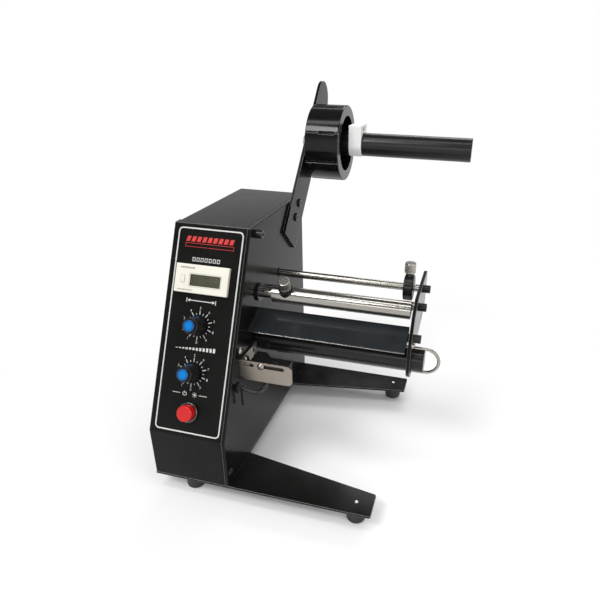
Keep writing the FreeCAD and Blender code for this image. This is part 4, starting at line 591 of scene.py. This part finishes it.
def length_sign():
    """A two-headed arrow between two stops."""
    half, tall, line, head, gap, head_share = 13.5, 1.8, 0.8, 2.6, 0.3, 0.8
    head_tall = tall * head_share
    shaft = half - line - head
    tip = half - line - gap
    outlines = [rectangle(-half, -tall, -half + line, tall), rectangle(half - line, -tall, half, tall)]
    upper = [(-tip, 0), (-shaft, head_tall), (-shaft, line / 2), (shaft, line / 2), (shaft, head_tall)]
    outlines.append(upper + [(-x, -y) for x, y in upper])
    return outlines


def speed_sign():
    """Twelve bars that grow to the right."""
    outlines = []
    width, pitch, low, tall, count, first = 2.0, 3.1, -1.8, 3.6, 12, 3
    step = tall / (count - 1 + first)
    for i in range(count):
        x = (i - count / 2) * pitch + (pitch - width) / 2
        outlines.append(rectangle(x, low, x + width, low + step * (i + first)))
    return outlines


def power_sign():
    """An open ring with a bar and a small sun, with a plain bar on either side."""
    ring, line, gap_degrees, steps, place = 1.9, 0.6, 35, 24, 4.6
    bar_low, bar_past = 0.3, 0.4
    sun, ray_count, ray_start, ray_end, ray_width = 1.0, 8, 1.4, 2.2, 0.5
    side_start, side_end = 8.5, 15.5
    outline = []
    for radius, order in ((ring, range(steps + 1)), (ring - line, range(steps, -1, -1))):
        for i in order:
            angle = math.radians(90 + gap_degrees + (360 - 2 * gap_degrees) * i / steps)
            outline.append((-place + radius * math.cos(angle), radius * math.sin(angle)))
    outlines = [outline, rectangle(-place - line / 2, bar_low, -place + line / 2, ring + bar_past)]
    outlines.append(circle(place, 0, sun))
    for i in range(ray_count):
        ray = bar(2 * math.pi * i / ray_count, ray_start, ray_end, ray_width)
        outlines.append([(x + place, y) for x, y in ray])
    outlines.append(rectangle(-side_end, -line / 2, -side_start, line / 2))
    outlines.append(rectangle(side_start, -line / 2, side_end, line / 2))
    return outlines


# Counter display

def nought(x, y, width, height, line):
    """The six bars of a nought on the display, each with pointed ends."""
    half = line / 2
    gap = line * SEGMENT_GAP
    flat = {"top": height, "bottom": 0.0}
    upright = {"top right": (width, height / 2), "low right": (width, 0.0),
               "low left": (0.0, 0.0), "top left": (0.0, height / 2)}
    outlines = []
    for name in ("top", "top right", "low right", "bottom", "low left", "top left"):
        if name in flat:
            cy = y + flat[name]
            x0, x1 = x + gap, x + width - gap
            outlines.append([(x0, cy), (x0 + half, cy - half), (x1 - half, cy - half), (x1, cy),
                             (x1 - half, cy + half), (x0 + half, cy + half)])
        else:
            dx, dy = upright[name]
            cx = x + dx
            y0, y1 = y + dy + gap, y + dy + height / 2 - gap
            outlines.append([(cx, y0), (cx + half, y0 + half), (cx + half, y1 - half), (cx, y1),
                             (cx - half, y1 - half), (cx - half, y0 + half)])
    return outlines


def counter_display(made):
    """The display behind its glass, in place of the plain window, with a dark ring of painted shade round
    its edge.
    """
    sheet, ink_height, glass_gap, glass_sheet, glass_edge = 0.2, 0.02, 0.12, 0.3, 0.04
    digit_width, digit_height, pitch, line = 1.9, 5.0, 3.2, 0.5
    shade_rim_width, shade_rim_height, corner = 0.7, 0.6, 0.3
    half_w, half_h = DISPLAY_WIDTH / 2, DISPLAY_HEIGHT / 2
    place = (COUNTER_X + WINDOW_SHIFT, COUNTER_DROP + WINDOW_DROP)
    face = outline_mesh([rectangle(-half_w, -half_h, half_w, half_h)], sheet)
    face.transform(panel_matrix(*place, DISPLAY_LIFT))
    panel = add_object("display_panel", face, "frame", made["display_face"])
    outlines = []
    for i in range(DIGIT_COUNT):
        x = (i - DIGIT_COUNT / 2) * pitch + (pitch - digit_width) / 2
        outlines += nought(x, -digit_height / 2, digit_width, digit_height, line)
    # A dark ring of display ink round the display's edge: painted shade from the bezel.
    outlines += open_box(-half_w, -half_h, half_w, half_h, shade_rim_width, shade_rim_height)
    ink = outline_mesh(outlines, ink_height)
    ink.transform(panel_matrix(*place, DISPLAY_LIFT + sheet))
    digits = add_object("display_digits", ink, "frame", made["display_ink"])
    cover = outline_mesh([rounded_rectangle(-half_w, -half_h, half_w, half_h, corner)], glass_sheet,
                         glass_edge)
    cover.transform(panel_matrix(*place, DISPLAY_LIFT + sheet + glass_gap))
    glass = add_object("display_cover", cover, "frame", made["display_glass"])
    for piece in (panel, digits, glass):
        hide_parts("counter_window")


def fine_frame(name, form, place, material):
    """A thin line round the key or the window of the counter."""
    half_w, half_h, radius = form
    outlines = rounded_frame(-half_w, -half_h, half_w, half_h, radius, FINE_LINE, radius - FINE_ROUND)
    printed(name, outlines, *place, material, FINE_INK, FACE_LIFT)


def counter_marks(made):
    """The counter's reset key, small marks and the thin frame lines round key and window."""
    grey = made["grey_ink"]
    key_half_w, key_half_h, key_round, key_sheet, key_edge = 1.4, 2.8, 0.6, 0.35, 0.1
    key_place = (COUNTER_X + KEY_SHIFT, COUNTER_DROP + KEY_DROP)
    key = outline_mesh([rounded_rectangle(-key_half_w, -key_half_h, key_half_w, key_half_h, key_round)],
                       key_sheet, key_edge)
    key.transform(panel_matrix(*key_place, FACE_LIFT))
    add_object("reset_key", key, "frame", made["ivory_plastic"])
    fine_frame("reset_key_line", KEY_LINE, key_place, grey)
    mark_share = 0.7
    for name, x, y, pitch, tall, count in (("face_marks_top", -19.5, 8.9, 1.9, 1.6, 7),
                                           ("face_marks_low", -20.5, -9.6, 1.35, 1.0, 10)):
        marks = [rectangle(x + pitch * i, y - tall / 2, x + pitch * (i + mark_share), y + tall / 2)
                 for i in range(count)]
        printed(name, marks, COUNTER_X, COUNTER_DROP, grey, FINE_INK, FACE_LIFT)
    window_place = (COUNTER_X + WINDOW_SHIFT, COUNTER_DROP + WINDOW_DROP)
    fine_frame("window_line", WINDOW_LINE, window_place, grey)


# Knob pointers

def knob_pointers(made):
    """A thin blue line down the side of each knob, from its cap towards the panel."""
    half_width, proud, sunk = 0.45, 0.12, 0.4
    low_lift, high_lift, low_radius, high_radius = 2.2, 13.4, 7.34, 6.75
    corners = []
    for lift, radius in ((low_lift, low_radius), (high_lift, high_radius)):
        for x, y in ((-half_width, radius - sunk), (half_width, radius - sunk),
                     (half_width, radius + proud), (-half_width, radius + proud)):
            corners.append((x, y, lift))
    sides = [(i, (i + 1) % 4, (i + 1) % 4 + 4, i + 4) for i in range(4)]
    faces = [(0, 3, 2, 1), (4, 5, 6, 7)] + sides
    for name, drop, body in (("length_pointer", LENGTH_DROP, "length_dial"),
                             ("speed_pointer", SPEED_DROP, "speed_dial")):
        mesh = bpy.data.meshes.new(name)
        mesh.from_pydata(corners, [], faces)
        mesh.transform(panel_matrix(CONTROL_X, drop))
        add_object(name, mesh, body, made["blue_plastic"])


# Sensor cable

CABLE_ORIGIN = Vector((117.05, 145.406, -7.8))
CABLE_POINTS = (
    (72.0, 33.2, 88.6),
    (76.8, 33.2, 87.8),
    (81.9, 34.6, 85.6),
    (85.8, 38.7, 83.5),
    (88.4, 43.2, 85.4),
    (90.0, 46.0, 90.0),
    (90.0, 46.0, 95.0),
)
CABLE_DIAMETER = 0.0037


def sensor_cable(made):
    curve = bpy.data.curves.new("sensor_lead", "CURVE")
    curve.dimensions = "3D"
    curve.bevel_depth = CABLE_DIAMETER / 2
    curve.bevel_resolution = 6
    curve.resolution_u = 12
    curve.use_fill_caps = True
    spline = curve.splines.new("NURBS")
    spline.points.add(len(CABLE_POINTS) - 1)
    for point, place in zip(spline.points, CABLE_POINTS):
        spot = (Vector(place) - CABLE_ORIGIN) * MM
        point.co = (*spot, 1)
    spline.order_u = 3
    spline.use_endpoint_u = True
    lead = add_object("sensor_lead", curve, "frame", made["cable_sheath"])
    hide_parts("sensor_cable")


# Studio

def camera_axes():
    flat = math.cos(CAMERA_PITCH)
    level = Vector((math.cos(CAMERA_YAW), -math.sin(CAMERA_YAW), 0))
    ahead = Vector((math.sin(CAMERA_YAW) * flat, math.cos(CAMERA_YAW) * flat, -math.sin(CAMERA_PITCH)))
    up = level.cross(ahead)
    right = level * math.cos(CAMERA_ROLL) + up * math.sin(CAMERA_ROLL)
    upright = -level * math.sin(CAMERA_ROLL) + up * math.cos(CAMERA_ROLL)
    return right, upright, ahead


def make_camera():
    data = bpy.data.cameras.new("camera")
    data.sensor_width = SENSOR_WIDTH_MM
    data.lens = FOCAL_PIXELS * SENSOR_WIDTH_MM / IMAGE_PIXELS
    data.shift_x = (IMAGE_PIXELS / 2 - CENTRE_PIXELS[0]) / IMAGE_PIXELS
    data.shift_y = (CENTRE_PIXELS[1] - IMAGE_PIXELS / 2) / IMAGE_PIXELS
    data.clip_start = 0.01
    camera = bpy.data.objects.new("camera", data)
    bpy.context.scene.collection.objects.link(camera)
    right, up, ahead = camera_axes()
    turn = Matrix((right, up, -ahead)).transposed().to_4x4()
    camera.matrix_world = Matrix.Translation(CAMERA_PLACE) @ turn
    bpy.context.scene.camera = camera


def softbox(name, place, target, size, power):
    data = bpy.data.lights.new(name, "AREA")
    data.shape = "RECTANGLE"
    data.size, data.size_y = size
    data.energy = power
    lamp = bpy.data.objects.new(name, data)
    bpy.context.scene.collection.objects.link(lamp)
    lamp.location = place
    ahead = Vector(target) - Vector(place)
    lamp.rotation_mode = "QUATERNION"
    lamp.rotation_quaternion = ahead.to_track_quat("-Z", "Y")


def make_lights():
    for values in SOFTBOXES:
        softbox(*values)


def mix_values(tree, factor, first, second):
    made = add_node(tree, "ShaderNodeMix", data_type="FLOAT")
    for socket, value in ((made.inputs[0], factor), (made.inputs[2], first), (made.inputs[3], second)):
        if isinstance(value, bpy.types.NodeSocket):
            tree.links.new(value, socket)
        else:
            socket.default_value = value
    return made.outputs[0]


def seen_rays(tree):
    """1 for camera, glossy and transmission rays, which see the white background."""
    path = add_node(tree, "ShaderNodeLightPath")
    first = add_node(tree, "ShaderNodeMath", operation="MAXIMUM")
    tree.links.new(path.outputs["Is Camera Ray"], first.inputs[0])
    tree.links.new(path.outputs["Is Glossy Ray"], first.inputs[1])
    second = add_node(tree, "ShaderNodeMath", operation="MAXIMUM")
    tree.links.new(first.outputs["Value"], second.inputs[0])
    tree.links.new(path.outputs["Is Transmission Ray"], second.inputs[1])
    return second.outputs["Value"], path.outputs["Is Camera Ray"]


def make_world():
    """White round the horizon and dim overhead, as in a studio; the camera sees plain white."""
    world = bpy.data.worlds.new("studio")
    bpy.context.scene.world = world
    world.use_nodes = True
    tree = world.node_tree
    background = tree.nodes["Background"]
    background.inputs["Color"].default_value = (1, 1, 1, 1)
    place = add_node(tree, "ShaderNodeTexCoord")
    axes = add_node(tree, "ShaderNodeSeparateXYZ")
    tree.links.new(place.outputs["Generated"], axes.inputs["Vector"])
    dome = mapped(tree, axes.outputs["Z"], 1.0, DOME_LEVEL, DOME_LOW, DOME_HIGH)
    seen, camera_ray = seen_rays(tree)
    seen_level = mix_values(tree, camera_ray, dome, 1.0)
    tree.links.new(mix_values(tree, seen, WORLD_LEVEL, seen_level), background.inputs["Strength"])


def make_floor():
    """Pale paper round the object, which turns into the white of the background farther out."""
    mesh = bpy.data.meshes.new("floor")
    corners = [(x * FLOOR_REACH, y * FLOOR_REACH, 0) for x, y in ((-1, -1), (1, -1), (1, 1), (-1, 1))]
    mesh.from_pydata(corners, [], [(0, 1, 2, 3)])
    material, tree, shader = new_material("floor_paper")
    shader.inputs["Roughness"].default_value = 0.9
    shader.inputs["Specular IOR Level"].default_value = 0.1
    cloud = place_noise(tree, FLOOR_CLOUDS, 3.0)
    tree.links.new(mix_colors(tree, cloud, *FLOOR_TONES), shader.inputs["Base Color"])
    place = add_node(tree, "ShaderNodeTexCoord")
    distance = add_node(tree, "ShaderNodeVectorMath", operation="LENGTH")
    tree.links.new(place.outputs["Object"], distance.inputs[0])
    far = mapped(tree, distance.outputs["Value"], 0.0, 1.0, FLOOR_NEAR, FLOOR_FAR)
    seen, _ = seen_rays(tree)
    glow = add_node(tree, "ShaderNodeEmission")
    tree.links.new(mix_values(tree, seen, WORLD_LEVEL, 1.0), glow.inputs["Strength"])
    both = add_node(tree, "ShaderNodeMixShader")
    tree.links.new(far, both.inputs[0])
    tree.links.new(shader.outputs["BSDF"], both.inputs[1])
    tree.links.new(glow.outputs["Emission"], both.inputs[2])
    tree.links.new(both.outputs["Shader"], tree.nodes["Material Output"].inputs["Surface"])
    floor = add_object("floor", mesh, None, material)


def main():
    bpy.context.scene.view_settings.view_transform = "Standard"
    make_camera()
    made = make_materials()
    dress_nodes(made)
    panel_print(made)
    counter_display(made)
    counter_marks(made)
    knob_pointers(made)
    sensor_cable(made)
    make_world()
    make_lights()
    make_floor()


main()
